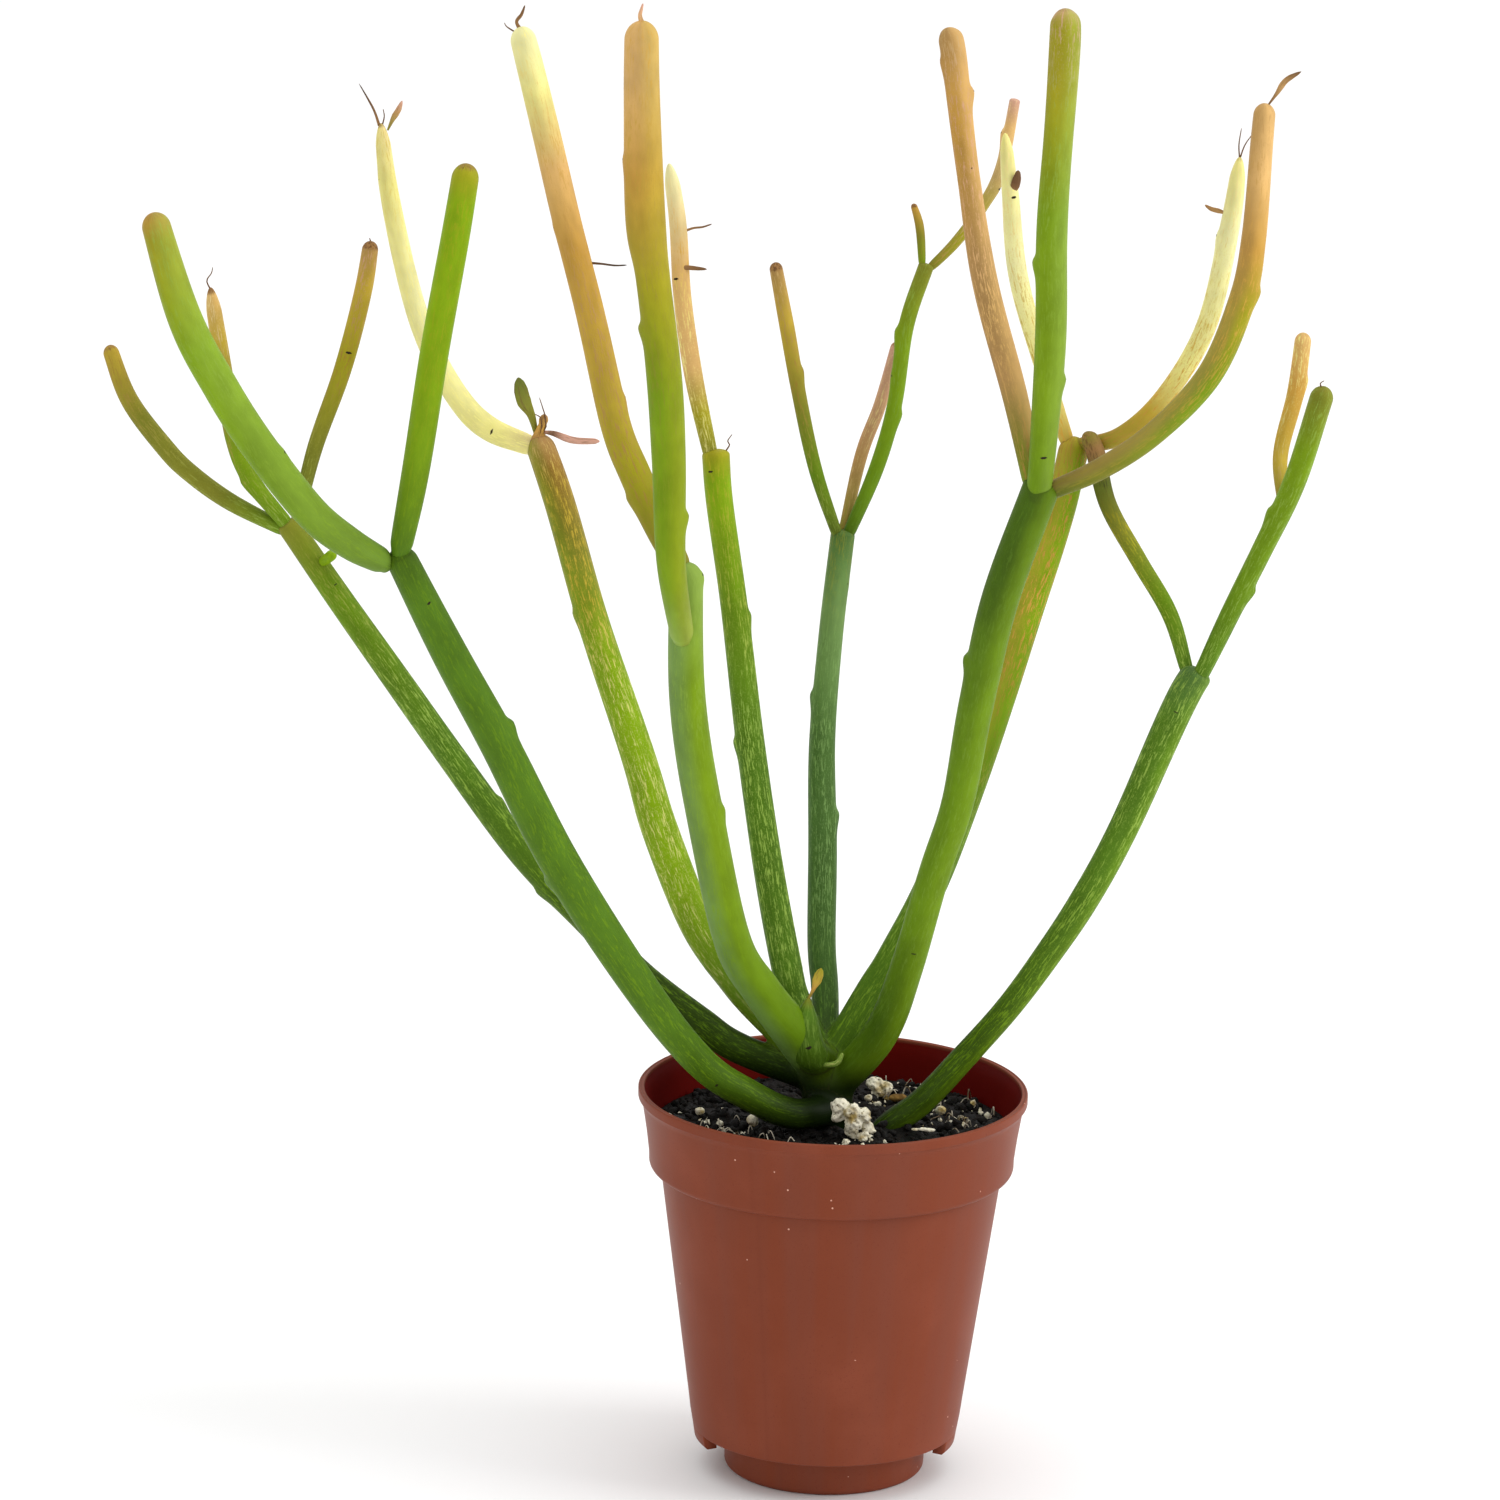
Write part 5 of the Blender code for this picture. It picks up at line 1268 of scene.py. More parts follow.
BLADES = (
    Blade("leaf_young_shoot", "young_shoot", 0.3, (0, 0, 0),
          ((0, 0, 0), (0.9, 0, 2.0), (1.4, 0.1, 3.4), (1.9, 0.2, 5.0)), 0.75,
          "0 OLIVE, 0.35 AMBER, 0.6 GOLD, 1 MUSTARD", "gold", (0.35, 0.3, 0.5, 1.0, 0.95, 0.4), 0.2),
    Blade("leaf_paddle", "stem_left_upright", 0.0, (-0.2, 0, 0),
          ((0.4, 0, -0.2), (-0.5, -0.3, 3.2), (-1.7, -0.6, 5.6), (-2.6, -0.8, 9.2)), 1.15,
          "0 OLIVE, 0.5 OLIVE, 1 DARK_OLIVE", "leaf_green", (0.3, 0.42, 0.6, 1.0, 0.95, 0.5), 0.16),
    Blade("leaf_long_pink", "stem_left_upright", 0.2, (0.7, -0.3, 0),
          ((-0.3, 0, 0.3), (1.4, -0.2, 0.1), (4.4, -0.5, -0.8), (8.4, -0.8, -0.8)), 0.55,
          "0 ROSE, 0.15 BARK, 0.4 ROSE, 1 ROSE", "dry_pink", (0.4, 0.8, 1.0, 0.95, 0.9, 0.7), 0.22),
    Blade("leaf_dry_tuft", "stem_left_upright", 0.2, (0.15, -0.2, 0),
          ((0, 0, -0.9), (0.2, -0.2, 0.8), (0.6, -0.3, 2.0), (0.9, -0.3, 3.5)), 1.0,
          "0 CORK, 0.5 AMBER, 1 CORK", "dry_brown", (1.3, 1.1, 0.7, 0.6, 0.75, 0.4), 0.5),
    Blade("bristle_left_upright", "branch_left_upright", 0.1, (-0.3, 0, 0),
          ((0, 0, -0.3), (-0.8, 0, 2.0), (-2.0, 0, 4.2), (-3.2, 0, 6.2)), 0.24, "0 CORK, 0.5 BARK, 1 SOOT",
          "dry_pink", (1.0, 0.8, 0.7, 0.5, 0.3), 0.12),
    Blade("leaf_left_upright_tip", "branch_left_upright", 1.2, (1, -0.1, 0),
          ((0, 0, 0), (0.8, -0.1, 1.8), (1.6, -0.2, 3.2), (2.2, -0.2, 4.7)), 0.48,
          "0 OLIVE, 0.6 COPPER, 1 ROSE", "dry_pink", (0.3, 0.6, 1.0, 0.9, 0.3), 0.2),
    Blade("leaf_front_high_tip", "branch_front_high", 0.2, (0, 0, 0),
          ((0, 0, -0.3), (-0.6, 0, 0.9), (0.1, 0, 2.0), (0.6, 0, 3.4)), 0.35, "0 CORK, 1 BARK", "dry_brown",
          (1.0, 0.7, 0.8, 0.6, 0.3), 0.16),
    Blade("bristle_front_high", "branch_front_high", 36.0, (1, 0, 0.1),
          ((-0.2, 0, 0), (1.6, 0, -0.1), (3.6, 0, -0.3), (5.4, 0, -0.2)), 0.2, "0 BARK, 1 SOOT", "dry_pink",
          (1.0, 0.8, 0.7, 0.5), 0.1),
    Blade("leaf_front_low_tip", "branch_front_low", 0.1, (0, 0, 0),
          ((0, 0, -0.3), (-0.3, 0, 0.8), (-0.1, 0, 1.8), (0.1, 0, 2.6)), 0.4, "0 PEACH, 1 ROSE", "dry_pink",
          (1.0, 0.8, 0.6, 0.3), 0.2),
    Blade("bristle_back_left", "branch_back_left", 10.5, (1, 0, 0.3),
          ((-0.2, 0, 0), (1.2, 0, 0.5), (2.6, 0, 0.7), (4.0, 0, 1.2)), 0.22, "0 CORK, 1 BARK", "dry_brown",
          (1.0, 0.8, 0.7, 0.5), 0.1),
    Blade("leaf_back_left", "branch_back_left", 16.0, (0.6, -0.6, 0.1),
          ((-1.2, -0.3, 0), (0.4, -0.4, 0.1), (2.0, -0.4, 0), (3.4, -0.3, -0.1)), 0.36, "0 CORK, 1 BARK",
          "dry_brown", (0.5, 1.0, 1.0, 0.8, 0.4), 0.14),
    Blade("leaf_right_front_tip", "branch_right_front_side", 0.2, (0.2, 0, 0),
          ((0, 0, -0.3), (1.3, 0, 1.6), (2.6, 0, 3.6), (4.8, 0, 5.0)), 0.46, "0 BARK, 0.5 COPPER, 1 BARK",
          "dry_pink", (0.25, 0.5, 1.0, 0.9, 0.35), 0.15),
    Blade("leaf_right_back", "branch_right_back_high", 9.0, (-0.95, -0.1, 0.35),
          ((0.2, 0, 0), (-0.8, 0, 0.3), (-2.0, 0, 0.6), (-3.0, 0, 1.2)), 0.38, "0 COPPER, 1 CORK",
          "dry_brown", (0.5, 1.0, 0.9, 0.4), 0.16),
    Blade("bract_right_back", "branch_right_back_low", 8.0, (0.5, -0.7, 0.2),
          ((-0.2, 0.1, -1.2), (0.3, -0.3, 0.0), (0.6, -0.4, 1.4), (0.7, -0.4, 2.4)), 0.75,
          "0 CORK, 0.5 BARK, 1 BARK", "bark", (0.6, 1.0, 0.9, 0.4), 0.3),
)

# Stipule hairs: the carrier, how far below its end, the way its foot is off, and its run.
HAIRS = (
    ("stem_left_upright", 0.3, (0.5, -0.5, 0),
     ((0.5, 0, 1.4), (0.3, -0.2, 3.2), (0.0, -0.2, 4.2), (-0.6, -0.2, 6.0))),
    ("stem_left_upright", 0.3, (0.2, -0.6, 0), ((0.4, 0, 1.6), (0.2, -0.2, 3.0), (-0.7, -0.2, 3.6))),
    ("stem_back_left", 0.3, (1, -0.4, 0), ((0, 0, 0), (0.5, 0, 0.9), (0.2, 0, 1.5), (0.9, 0, 2.6))),
    ("branch_left_back_middle", 0.2, (0, 0, 0), ((0, 0, -0.2), (-0.6, 0, 1.2), (0.1, 0, 2.4), (0.3, 0, 3.4))),
    ("branch_left_upright", 0.2, (0.2, 0, 0), ((0, 0, -0.2), (0.3, 0, 1.2), (0.1, 0, 2.4))),
    ("branch_front_high", 0.3, (-0.6, 0, 0), ((0, 0, -0.2), (-1.1, 0, 0.5), (-1.5, 0, 1.1))),
    ("branch_right_back_high", 0.2, (0, 0, 0), ((0, 0, -0.2), (-0.2, 0, 2.0), (0.1, 0, 4.6))),
    ("branch_right_back_high", 0.2, (0, 0, 0), ((0, 0, -0.2), (0.7, 0, 2.0), (2.0, 0, 4.0))),
    ("branch_left_back_high", 0.2, (0, 0, 0), ((0, 0, -0.2), (-0.3, 0, 0.7))),
    ("branch_far_right_high", 0.2, (-0.2, 0, 0), ((0, 0, -0.3), (-0.4, 0, 0.6), (0.2, 0, 1.1))),
    ("stem_right_back", 0.4, (0.6, -0.5, 0), ((0, 0, 0), (0.8, 0, 0.8), (1.4, 0, 0.9))),
)


class Leaves:
    """The withered leaves and hairs that the growths still carry."""

    def __init__(self, growths: dict) -> None:
        """Keeps the growths that carry them."""
        self.growths = growths

    def foot(self, carrier: str, below: float, side: tuple) -> np.ndarray:
        """The point on the carrier's skin that a leaf stands on."""
        growth = self.growths[carrier]
        place = growth.at(np.array([growth.length - below]))
        tangent = unit(place["tangent"][0])
        reach = np.linalg.norm(side)
        if reach < 1e-6:
            return place["centre"][0]
        way = unit(np.array(side, float) - np.dot(side, tangent) * tangent)
        return place["centre"][0] + way * place["radius"][0] * 0.85 * min(1.0, reach)

    def sweep(self, foot: np.ndarray, run: tuple, shape: tuple, width: float, thickness: float,
              sides: int, rings: int) -> tuple:
        """A closed, flattened tube along a smooth midline.

        A point is midline + w cos a across + t sin a facing, where w and t are the half width and
        half thickness there, and facing is the way to the front square to the midline.

        Args:
            foot: The midline's first point.
            run: The midline's points from its foot.
            shape: Shares of the half width at even steps.
            width: Half the full width.
            thickness: Half the thickness.
            sides: Vertices in a ring.
            rings: How many rings.

        Returns:
            Vertices, faces, and the shares along it.
        """
        line = smooth_line(np.array(run, float)) + foot
        steps = np.concatenate([[0], np.cumsum(np.linalg.norm(np.diff(line, axis=0), axis=1))])
        share = np.sin(np.linspace(0, math.pi / 2, rings)) * 0.985 + 0.004
        middle = columns_at(share * steps[-1], steps, line)
        tangent = unit(np.gradient(middle, axis=0))
        facing = np.array([0.25, -1.0, 0.1])
        facing = unit(facing - (tangent @ facing)[:, None] * tangent)
        across = np.cross(tangent, facing)
        half = width * np.interp(share, np.linspace(0, 1, len(shape)), shape)
        half = half * np.sqrt(np.clip((1 - share) / 0.08, 0, 1))
        thick = thickness * np.sqrt(np.clip((1.02 - share) / 0.2, 0, 1))
        angle = around_once(sides)
        cosine, sine = np.cos(angle)[None, :, None], np.sin(angle)[None, :, None]
        skin = (middle[:, None, :] + half[:, None, None] * cosine * across[:, None, :]
                - thick[:, None, None] * sine * facing[:, None, :])
        points, faces = closed_tube(skin, foot, line[-1])
        shares = np.append(np.repeat(share, sides), [0, 1])
        turn = np.append(np.tile(angle, rings), [0, 0])
        grown = np.stack([width * np.cos(turn), thickness * np.sin(turn), shares * steps[-1]], axis=1)
        return points, faces, shares, grown

    def build(self) -> list:
        """Builds each blade, and all the hairs as one piece."""
        dry = DryLeaf("withered euphorbia leaf").build()
        hair = DryLeaf("dried stipule hair", 0.1).build()
        pieces = []
        for blade in BLADES:
            foot = self.foot(blade.carrier, blade.below, blade.side)
            points, faces, shares, grown = self.sweep(foot, blade.run, blade.shape, blade.width,
                                                      blade.thickness, 18, 28)
            tint = np.insert(blend_hues(shares, blade.tones), 3, 1.0, axis=1)
            piece = add_piece(f"{blade.name}_blade", points, faces, blade.slot, (blade.name,),
                              {"tint": tint, "grown": grown})
            piece.data.materials.append(dry)
            pieces.append(piece)
        swept = [self.sweep(self.foot(carrier, below, side), run, (1.0, 0.8, 0.5), 0.13, 0.12, 8, 14)
                 for carrier, below, side, run in HAIRS]
        points, faces = join_tubes([hair_of[:2] for hair_of in swept])
        hairs = add_piece("stipule_hairs", points, faces, "dry_brown", (), {
            "tint": np.tile(rgba(Hue.BARK.value), (len(points), 1)),
            "grown": np.vstack([hair_of[3] for hair_of in swept])})
        hairs.data.materials.append(hair)
        return [*pieces, hairs]


# ---- The pot --------------------------------------------------------------------------------


@dataclass
class Pot:
    """The moulded pot, turned from its outline, with its lugs and drain holes."""

    rim_radius: float = 30.0
    height: float = 61.0
    wall: float = 0.8
    lip_height: float = 1.5
    lip_overhang: float = 0.7
    lip_curl: float = 1.0
    band_height: float = 10.9
    shoulder_radius: float = 1.8
    draft: float = 0.138
    ledge_height: float = 8.2
    foot_radius: float = 15.5
    foot_corner: float = 1.0
    foot_flare: float = 0.3
    skirt: float = 1.6  # how far the wall's foot hangs under the ledge
    bead: float = 0.22
    sides: int = 256
    lug_drop: float = 3.5
    lug_turns: tuple = (3, 25)  # degrees from the X axis between which the nearest lug reaches
    ledge_hole: float = 1.6
    floor_hole: float = 1.5
    floor_circle: float = 8.0
    wrap: float = 25.0  # the radius on which patterns that go round the wall are laid
    seam_turn: float = 245.0  # degrees from the X axis to the parting line

    def band_radius(self) -> float:
        """The band's outer radius at its foot."""
        return self.rim_radius - self.lip_overhang - self.draft * (
            self.band_height - self.lip_height - self.lip_curl)

    def body_radius(self, height: float) -> float:
        """The body's outer radius at a height."""
        shoulder = self.height - self.band_height - self.shoulder_radius
        return self.band_radius() - self.shoulder_radius - self.draft * (shoulder - height)

    @staticmethod
    def arc(centre: tuple, radius: float, start: float, end: float, steps: int) -> list:
        """Points on an arc of the outline, with its angles in degrees."""
        turns = np.radians(np.linspace(start, end, steps + 1))
        return [(centre[0] + radius * math.cos(t), centre[1] + radius * math.sin(t)) for t in turns]

    def outline(self) -> tuple:
        """The wall's outline, from the foot's centre outside, over the lip and back inside.

        Returns:
            Radii and heights, and 1 for each point of the inner wall.
        """
        band_foot = self.height - self.band_height
        step = self.band_radius() - self.shoulder_radius
        ledge = self.ledge_height
        soft = 0.35
        lip_foot = self.height - self.lip_height
        hem = ledge - self.skirt
        outer = [(0, 0), (4, 0), (9, 0), *self.arc((self.foot_radius - self.foot_corner, self.foot_corner),
                                                   self.foot_corner, -90, 0, 8),
                 (self.foot_radius + self.foot_flare * 0.5, ledge / 2),
                 (self.foot_radius + self.foot_flare, ledge - 0.05),
                 (self.foot_radius + self.foot_flare + 0.1, ledge),
                 (self.body_radius(hem) - 1.4, ledge),
                 (self.body_radius(hem) - 1.1, ledge - 0.3), (self.body_radius(hem) - 0.9, hem + 0.1),
                 *self.arc((self.body_radius(hem) - soft, hem + soft), soft, -90, 0, 5),
                 (self.body_radius(ledge + 1.0) + 0.03, ledge + 1.0)]
        for height in np.linspace(ledge + 4, band_foot - self.shoulder_radius - 0.4, 9):
            outer.append((self.body_radius(height), float(height)))
        outer += self.arc((step + 0.25, band_foot - self.shoulder_radius - 0.25), 0.25, 180, 90, 4)
        outer += self.arc((step + 0.6, band_foot - self.shoulder_radius + 1.2), 1.2, -90, -8, 8)
        outer += [(self.band_radius() + 0.02, band_foot + 0.6), (self.band_radius() + 0.45, band_foot + 4.0),
                  (self.rim_radius - self.lip_overhang, lip_foot - self.lip_curl)]
        outer += self.arc((self.rim_radius - self.bead, lip_foot + self.bead), self.bead, -70, 0, 4)
        outer += [(self.rim_radius, self.height - 2.6 * self.bead)]
        outer += self.arc((self.rim_radius - self.bead, self.height - self.bead), self.bead, 0, 150, 8)
        inner_lip = self.rim_radius - self.lip_overhang - self.wall
        mouth = self.rim_radius - self.wall - 0.15
        outer += self.arc((mouth + self.bead, self.height - self.bead), self.bead, 60, 180, 8)
        inner = [(mouth - 0.05, self.height - 0.6), (mouth - 0.25, self.height - 1.1),
                 (inner_lip, lip_foot - self.lip_curl)]
        for height in np.linspace(lip_foot - 2, band_foot + 0.5, 7):
            inner.append((self.band_radius() - self.wall + self.draft * (height - band_foot), float(height)))
        inner += [(step - self.wall + 0.3, band_foot - self.shoulder_radius + 0.9),
                  (step - self.wall, band_foot - self.shoulder_radius)]
        for height in np.linspace(band_foot - 6, ledge + self.wall, 6):
            inner.append((self.body_radius(height) - self.wall, float(height)))
        inner += [(self.foot_radius + self.foot_flare - self.wall, ledge + self.wall),
                  (self.foot_radius - self.wall, self.wall + 0.4),
                  (self.foot_radius - self.wall - 0.4, self.wall), (6, self.wall), (0, self.wall)]
        return np.array(outer + inner), np.array([0.0] * len(outer) + [1.0] * len(inner))

    def build(self) -> bpy.types.Object:
        """Turns the outline round the axis: a point is (r cos a, r sin a, z)."""
        profile, inside = self.outline()
        angle = around_once(self.sides)
        body = profile[1:-1]
        points, faces = closed_tube(turned(body[:, :1], angle, body[:, 1:]), np.array([0, 0, 0.0]),
                                    np.array([0, 0, self.wall]))
        turn = np.append(np.tile(angle, len(body)), [0, 0])
        height = points[:, 2]
        side = np.append(np.repeat(inside[1:-1], self.sides), [0, 1])
        away = (turn - math.radians(self.seam_turn)) * self.wrap
        seam = 0.16 * np.exp(-(away / 0.35) ** 2) * (side < 0.5)
        # Painted shadow: a dark line under the band's lower edge, added to the real parting line.
        under = self.height - self.band_height - self.shoulder_radius
        seam = seam + 0.75 * np.exp(-((height - under) / 0.22) ** 2) * (side < 0.5)
        pot = add_piece("pot_moulding", points, faces, "pot_plastic", ("pot",),
                        {"around": turned(self.wrap, turn, height), "side": side, "seam": seam})
        self.drill(pot)
        plastic = MouldedPolypropylene().build()
        pot.data.materials.append(plastic)
        self.build_lugs().data.materials.append(plastic)
        return pot

    def build_lugs(self) -> bpy.types.Object:
        """The four teeth as one piece of closed blocks."""
        points, faces = join_tubes(self.lug_blocks())
        around = turned(self.wrap, np.arctan2(points[:, 1], points[:, 0]), points[:, 2])
        none = np.zeros(len(points))
        return add_piece("pot_lugs", points, faces, "pot_plastic", (),
                         {"around": around, "side": none, "seam": none})

    def lug_blocks(self) -> list:
        """The four teeth under the ledge: a small section carried along an arc, closed at its ends."""
        low, high = self.ledge_height - self.lug_drop, self.ledge_height + 0.2
        outer_low, outer_high = self.body_radius(low), self.body_radius(high)
        section = np.array([(outer_low - 0.35, low), (outer_low - 0.05, low + 0.3), (outer_high - 0.04, high),
                            (outer_high - 2.2, high), (outer_low - 1.9, low + 0.05)])
        found = []
        start, end = self.lug_turns
        for first, last in ((start, end), (180 - end, 180 - start), (180 + start, 180 + end),
                            (-end, -start)):
            turns = np.radians(np.linspace(last, first, 12))[:, None]
            rings = turned(section[:, 0], turns, section[:, 1])
            middle = rings.mean(axis=1)
            found.append(closed_tube(rings, middle[0], middle[-1]))
        return found

    def drill(self, pot: bpy.types.Object) -> None:
        """Cuts the drain holes with one cutter of upright cylinders, and applies the cut."""
        middle = (self.foot_radius + self.foot_flare + self.body_radius(self.ledge_height)) / 2
        spots = [(middle, turn, self.ledge_height - 1, self.ledge_hole) for turn in (0, 90, 180, 270)]
        spots += [(self.floor_circle, turn, -1.0, self.floor_hole) for turn in (90, 210, 330)]
        angle = around_once(28)
        cylinders = []
        for distance, degrees, low, radius in spots:
            turn = math.radians(degrees)
            foot = np.array([distance * math.cos(turn), distance * math.sin(turn), low])
            rings = turned(radius, angle, np.array([[low], [low + 3.0]])) + foot * (1, 1, 0)
            cylinders.append(closed_tube(rings, foot, foot + (0, 0, 3.0)))
        points, faces = join_tubes(cylinders)
        mesh = bpy.data.meshes.new("drain_cutter")
        mesh.from_pydata(points * MM, [], [face for group in faces for face in group.tolist()])
        cutter = bpy.data.objects.new("drain_cutter", mesh)
        bpy.context.scene.collection.objects.link(cutter)
        cut = pot.modifiers.new("drains", "BOOLEAN")
        cut.operation, cut.solver, cut.object = "DIFFERENCE", "EXACT", cutter
        graph = bpy.context.evaluated_depsgraph_get()
        finished = bpy.data.meshes.new_from_object(pot.evaluated_get(graph))
        pot.modifiers.clear()
        pot.data = finished
        bpy.data.objects.remove(cutter)


# ---- The soil -------------------------------------------------------------------------------


@dataclass
class SoilBed:
    """The peat, with its crumbs, fibres and white grains."""

    pot: Pot
    top: float = 55.0
    gap: float = 0.25
    crumbs: int = 1700
    grains: int = 210
    fibres: int = 110

    def edge(self) -> float:
        """The bed's radius at its top."""
        band_foot = self.pot.height - self.pot.band_height
        return self.pot.band_radius() - self.pot.wall + self.pot.draft * (self.top - band_foot) - self.gap

    def relief(self, x: np.ndarray, y: np.ndarray) -> np.ndarray:
        """The top's height: rough noise, a rise round the trunk, and a rim a little lower."""
        flat = np.stack([x, y, np.zeros_like(x)], axis=-1)
        radius = np.hypot(x, y)
        bumps = 0.75 * rough_noise(flat, 3.2, 11, 4) + 0.3 * lattice_noise(flat, 9.0, 5)
        return self.top - 0.1 + bumps * smooth_step(-radius, -self.edge(), -self.edge() + 2.5) - 0.4 * (
            smooth_step(radius, self.edge() - 3, self.edge()))

    def build_bed(self) -> bpy.types.Object:
        """A turned body under a rough top: rings from the centre out, then down the pot's wall."""
        count, sides = 58, 180
        edge = self.edge()
        angle = around_once(sides)
        top = turned(np.linspace(0.4, edge, count)[:, None], angle, 0.0)
        top[..., 2] = self.relief(top[..., 0], top[..., 1])
        pot = self.pot
        ledge, shoulder = pot.ledge_height + pot.wall, pot.height - pot.band_height - pot.shoulder_radius
        step = pot.band_radius() - pot.shoulder_radius
        wall = np.array([(pot.band_radius() - pot.wall - 0.3, pot.height - pot.band_height + 0.4),
                         (step - pot.wall - 0.3, shoulder + 0.2),
                         (pot.body_radius(ledge) - pot.wall - 0.3, ledge + 0.3),
                         (pot.foot_radius - pot.wall - 0.2, ledge + 0.3),
                         (pot.foot_radius - pot.wall - 0.6, pot.wall + 0.3)])
        rings = np.concatenate([top, turned(wall[:, :1], angle, wall[:, 1:])])[::-1]
        points, faces = closed_tube(rings, np.array([0, 0, pot.wall + 0.3]), np.array([0, 0, self.top]))
        bed = add_piece("peat_bed", points, faces, "peat", ("soil",))
        bed.data.materials.append(DampPeat().build())
        return bed

    def pebble(self) -> tuple:
        """A unit ball of 18 points and 32 triangles, for what is scattered by the hundred."""
        corners = np.array([(1, 0, 0), (-1, 0, 0), (0, 1, 0), (0, -1, 0), (0, 0, 1), (0, 0, -1)], float)
        sides = [(0, 2, 4), (2, 1, 4), (1, 3, 4), (3, 0, 4), (2, 0, 5), (1, 2, 5), (3, 1, 5), (0, 3, 5)]
        pairs = sorted({tuple(sorted((f[k], f[(k + 1) % 3]))) for f in sides for k in range(3)})
        middle = {pair: 6 + index for index, pair in enumerate(pairs)}
        halves = np.array([unit(corners[a] + corners[b]) for a, b in pairs])
        faces = []
        for a, b, c in sides:
            ab, bc, ca = (middle[tuple(sorted(pair))] for pair in ((a, b), (b, c), (c, a)))
            faces += [(a, ab, ca), (ab, b, bc), (ca, bc, c), (ab, bc, ca)]
        return np.vstack([corners, halves]), np.array(faces)

    def scatter(self, name: str, count: int, sizes: tuple, seed: int, slot: str, sunk: float,
                crowd: Optional[np.ndarray] = None) -> bpy.types.Object:
        """Scatters pebbles over the bed: each is stretched, roughened, turned and half sunk.

        Args:
            name: The piece's name.
            count: How many.
            sizes: The least and the greatest radius, in millimetres.
            seed: Picks them.
            slot: The record's material slot.
            sunk: How deep the middle lies, as a share of the radius.
            crowd: Centres that they gather round, or None for all over.

        Returns:
            The object, with no material yet.
        """
        rng = np.random.default_rng(seed)
        reach = self.edge() - 0.6
        radius = reach * np.sqrt(rng.uniform(0, 1, count))
        spots = turned(radius, rng.uniform(0, 2 * math.pi, count), 0.0)[:, :2]
        if crowd is not None:
            chosen = crowd[rng.integers(0, len(crowd), count)]
            near = chosen[:, :2] + rng.normal(0, 1, (count, 2)) * chosen[:, 2:3]
            spots = np.where(np.hypot(*near.T)[:, None] < reach, near, spots)
        away = np.hypot(spots[:, 0] + 1.0, spots[:, 1] - 3.0)
        spots = spots[away > 5.2]
        count = len(spots)
        ball, faces = self.pebble()
        size = sizes[0] * (sizes[1] / sizes[0]) ** (rng.uniform(0, 1, count) ** 2.2)
        stretch = rng.uniform(0.6, 1.25, (count, 1, 3))
        rough = rng.uniform(0.72, 1.15, (count, len(ball), 1))
        turns = np.linalg.qr(rng.normal(0, 1, (count, 3, 3)))[0]
        turns *= np.sign(np.linalg.det(turns))[:, None, None]
        shapes = np.einsum("nij,nkj->nki", turns, ball * stretch * rough) * size[:, None, None]
        height = self.relief(spots[:, 0], spots[:, 1]) + size * (0.5 - sunk)
        places = np.stack([spots[:, 0], spots[:, 1], height], axis=1)
        points = (shapes + places[:, None, :]).reshape(-1, 3)
        inner = self.edge() + 0.1
        radii = np.hypot(points[:, 0], points[:, 1])
        points[:, :2] *= np.minimum(1, inner / np.maximum(radii, 1e-6))[:, None]
        corners = (faces[None] + len(ball) * np.arange(count)[:, None, None]).reshape(-1, 3)
        return add_piece(name, points, [corners], slot)

    def build_fibres(self) -> bpy.types.Object:
        """Curled root fibres: thin tubes whose midlines bend up out of the peat and back."""
        rng = np.random.default_rng(41)
        homes = np.array([(-19, -6, 4.0), (18, 10, 3.6), (21, 3, 3.4), (-14, -12, 4.0), (10, 19, 4.0),
                          (0, -17, 6)])
        tubes = []
        angle = around_once(5)
        for _ in range(self.fibres):
            home = homes[rng.integers(0, len(homes))]
            spot = home[:2] + rng.normal(0, 1, 2) * home[2]
            if np.hypot(*spot) > self.edge() - 1.5 or np.hypot(spot[0] + 1, spot[1] - 3) < 6:
                continue
            length, turn = rng.uniform(2.0, 5.5), rng.uniform(0, 6.28)
            share = np.linspace(0, 1, 14)
            bend = turn + rng.uniform(-2.6, 2.6) * share
            x = spot[0] + length * 0.45 * np.cumsum(np.cos(bend)) / 14
            y = spot[1] + length * 0.45 * np.cumsum(np.sin(bend)) / 14
            lift = rng.uniform(0.5, 1.5) * np.sin(math.pi * share) + 0.15
            middle = np.stack([x, y, self.relief(x, y) + lift], axis=1)
            away = np.hypot(middle[:, 0], middle[:, 1])
            middle[:, :2] *= np.minimum(1, (self.edge() - 0.3) / away)[:, None]
            tangent = unit(np.gradient(middle, axis=0))
            across = unit(np.cross(tangent, [0.1, 0.2, 1.0]))
            other = np.cross(tangent, across)
            thick = rng.uniform(0.08, 0.15) * (1 - 0.6 * share)[:, None, None]
            cosine, sine = np.cos(angle)[None, :, None], np.sin(angle)[None, :, None]
            rings = middle[:, None] + thick * (cosine * across[:, None] + sine * other[:, None])
            tubes.append(closed_tube(rings, middle[0], middle[-1]))
        fibres = add_piece("root_fibres", *join_tubes(tubes), "perlite")
        fibres.data.materials.append(RootFibre().build())
        return fibres

    def build(self) -> list:
        """Builds the bed and all that lies loose on it."""
        bed = self.build_bed()
        crumbs = self.scatter("peat_crumbs", self.crumbs, (0.28, 1.15), 7, "peat", 0.35)
        crumbs.data.materials.append(bed.data.materials[0])
        crowd = np.array([(-21, 0, 3.0), (-17, -9, 3.2), (-8, -19, 3.5), (4, -12, 3.0), (12, -15, 3.5),
                          (8, 13, 2.5), (18, 4, 3.0), (21, 9, 2.5), (5, -9, 2.0)])
        grains = self.scatter("perlite_grains", self.grains, (0.16, 0.95), 19, "perlite", 0.2, crowd)
        grains.data.materials.append(ExpandedPerlite("perlite, small grains", pore=0.5).build())
        return [bed, crumbs, grains, self.build_fibres()]


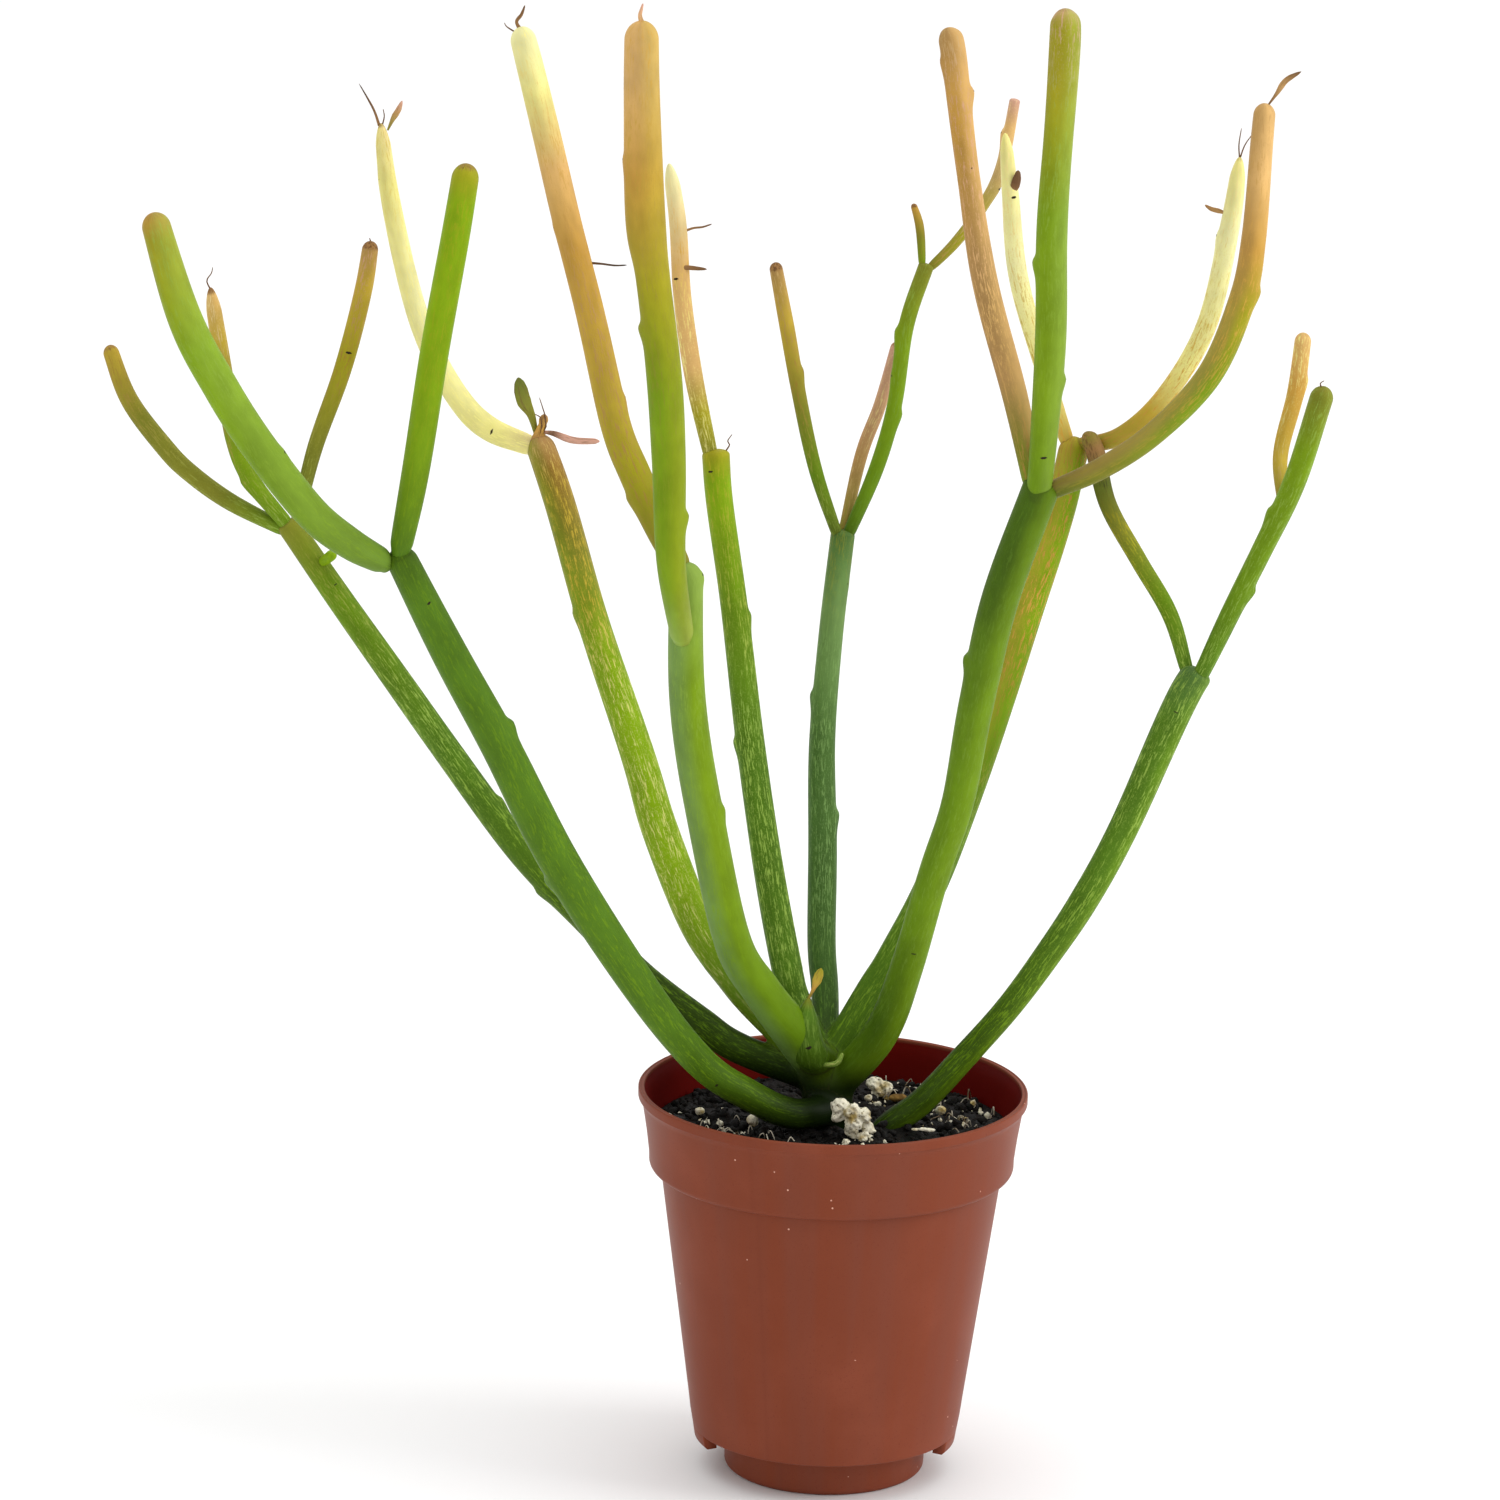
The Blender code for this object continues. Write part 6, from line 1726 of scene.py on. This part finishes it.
@dataclass(frozen=True)
class Lump:
    """A lump on the soil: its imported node, its balls as (x, y, z, radius) shares of its box."""

    node: str
    balls: tuple
    rough: float = 0.22
    cell: float = 0.16
    seed: int = 3
    grow: float = 1.0


LUMPS = (
    Lump("perlite_front", ((-0.22, 0.05, 0.28, 0.2), (-0.02, -0.05, 0.2, 0.2), (0.2, 0.0, 0.08, 0.2),
                           (0.05, -0.12, -0.1, 0.18), (0.3, 0.05, -0.16, 0.16), (0.02, 0.1, -0.3, 0.17),
                           (0.22, -0.1, -0.34, 0.13), (-0.28, 0.0, 0.06, 0.14)), 0.42, 0.15, 3, 1.28),
    Lump("perlite_back", ((-0.15, 0, 0.15, 0.3), (0.2, 0.05, 0, 0.28), (0, 0, -0.2, 0.28)),
         0.3, 0.14, 5, 1.4),
    Lump("perlite_crumb", ((0, 0, 0, 0.4), (0.15, 0, 0.1, 0.3)), 0.12, 0.12, 8),
    Lump("perlite_flake", ((-0.3, 0, 0.05, 0.2), (-0.05, 0, 0.1, 0.22), (0.25, 0, 0, 0.2)), 0.12, 0.12, 11),
    Lump("perlite_right", ((0, 0, 0, 0.4), (-0.1, 0, -0.15, 0.3)), 0.12, 0.12, 13),
    Lump("perlite_left", ((0, 0, 0.05, 0.38), (0.15, 0, -0.2, 0.28)), 0.12, 0.12, 17),
    Lump("perlite_far_left", ((0, 0, 0, 0.4), (-0.12, 0, 0.1, 0.28)), 0.12, 0.12, 19),
    Lump("bark_chip", ((-0.1, 0, 0, 0.36), (0.2, 0, 0.05, 0.3)), 0.15, 0.13, 23),
)


class Lumps:
    """The larger grains, each the zero surface of blended balls roughened by noise."""

    def build_lump(self, lump: Lump, material: bpy.types.Material) -> bpy.types.Object:
        """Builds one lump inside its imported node's box."""
        low, high = (np.array(corner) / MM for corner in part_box(lump.node))
        middle, size = (low + high) / 2, (high - low) * lump.grow

        def blended(points: np.ndarray) -> np.ndarray:
            """The least of the balls' distances, roughened by noise."""
            total = np.full(len(points), 9.0)
            for x, y, z, radius in lump.balls:
                away = (points - middle - size * (x, y, z)) / size
                total = smooth_least(total, (np.linalg.norm(away, axis=1) - radius) * size.mean(), 0.25)
            return total + lump.rough * rough_noise(points, 1.1, lump.seed, 3)

        vertices, quads = zero_surface(blended, middle - size / 2 - 0.4, middle + size / 2 + 0.4, lump.cell)
        slot = "bark" if lump.node == "bark_chip" else "perlite"
        piece = add_piece(f"{lump.node}_grain", vertices, [quads], slot, (lump.node,))
        piece.data.materials.append(material)
        return piece

    def build(self) -> list:
        """Builds every lump."""
        white = ExpandedPerlite("perlite, popped volcanic glass").build()
        bark = ExpandedPerlite("composted bark, stained", "8A6A34", "5C4320", 1.1).build()
        return [self.build_lump(lump, bark if lump.node == "bark_chip" else white) for lump in LUMPS]


# ---- The stage ------------------------------------------------------------------------------


@dataclass(frozen=True)
class Lamp:
    """A soft box: where it stands, what it faces, its side, in metres, and its power in watts."""

    name: str
    place: tuple
    size: float
    power: float
    aim: tuple = (0.0, 0.0, 0.12)


@dataclass
class Stage:
    """A pale floor, a bright even sky, soft boxes and the camera."""

    lens: float = 192.0
    eye: tuple = (-0.01396, -1.17938, 0.41978)
    pitch: float = 14.515
    roll: float = 1.283
    sky: float = 0.8
    lamps: tuple = (Lamp("key", (1.3, -0.25, 0.75), 0.7, 9.0), Lamp("ceiling", (0.0, 0.3, 2.4), 4.0, 34.0))

    def build(self) -> None:
        """Builds the floor, the light and the camera."""
        mesh = bpy.data.meshes.new("floor")
        half = 6.0
        mesh.from_pydata([(-half, -half, 0), (half, -half, 0), (half, half, 0), (-half, half, 0)], [],
                         [(0, 1, 2, 3)])
        floor = bpy.data.objects.new("floor", mesh)
        floor.data.materials.append(plain_material("white painted floor", "F8F8F8", 0.9))
        bpy.context.scene.collection.objects.link(floor)
        world = bpy.data.worlds.new("sky")
        world.use_nodes = True
        world.node_tree.nodes["Background"].inputs["Strength"].default_value = self.sky
        world.node_tree.nodes["Background"].inputs["Color"].default_value = (1, 1, 1, 1)
        bpy.context.scene.world = world
        for lamp in self.lamps:
            data = bpy.data.lights.new(lamp.name, "AREA")
            data.shape, data.size, data.energy = "SQUARE", lamp.size, lamp.power
            light = bpy.data.objects.new(lamp.name, data)
            away = Matrix.Translation(lamp.place).translation - Matrix.Translation(lamp.aim).translation
            light.rotation_euler = away.to_track_quat("Z", "Y").to_euler()
            light.location = lamp.place
            bpy.context.scene.collection.objects.link(light)
        data = bpy.data.cameras.new("camera")
        data.lens, data.sensor_width = self.lens, 36.0
        camera = bpy.data.objects.new("camera", data)
        turn = Matrix.Rotation(math.radians(90 - self.pitch), 4, "X") @ Matrix.Rotation(
            math.radians(self.roll), 4, "Z")
        camera.matrix_world = Matrix.Translation(self.eye) @ turn
        bpy.context.scene.collection.objects.link(camera)
        bpy.context.scene.camera = camera
        bpy.context.scene.view_settings.view_transform = "Standard"


def main() -> None:
    """Builds the pot, the soil, the plant and the stage, in that order."""
    logging.basicConfig(level=logging.INFO, format="%(message)s")
    pot = Pot()
    pieces = [pot.build(), *SoilBed(pot).build(), *Lumps().build()]
    plant = Plant()
    pieces += plant.build()
    pieces += Leaves(plant.growths).build()
    Stage().build()
    log.info("%d pieces", len(pieces))


if __name__ == "__main__":
    main()
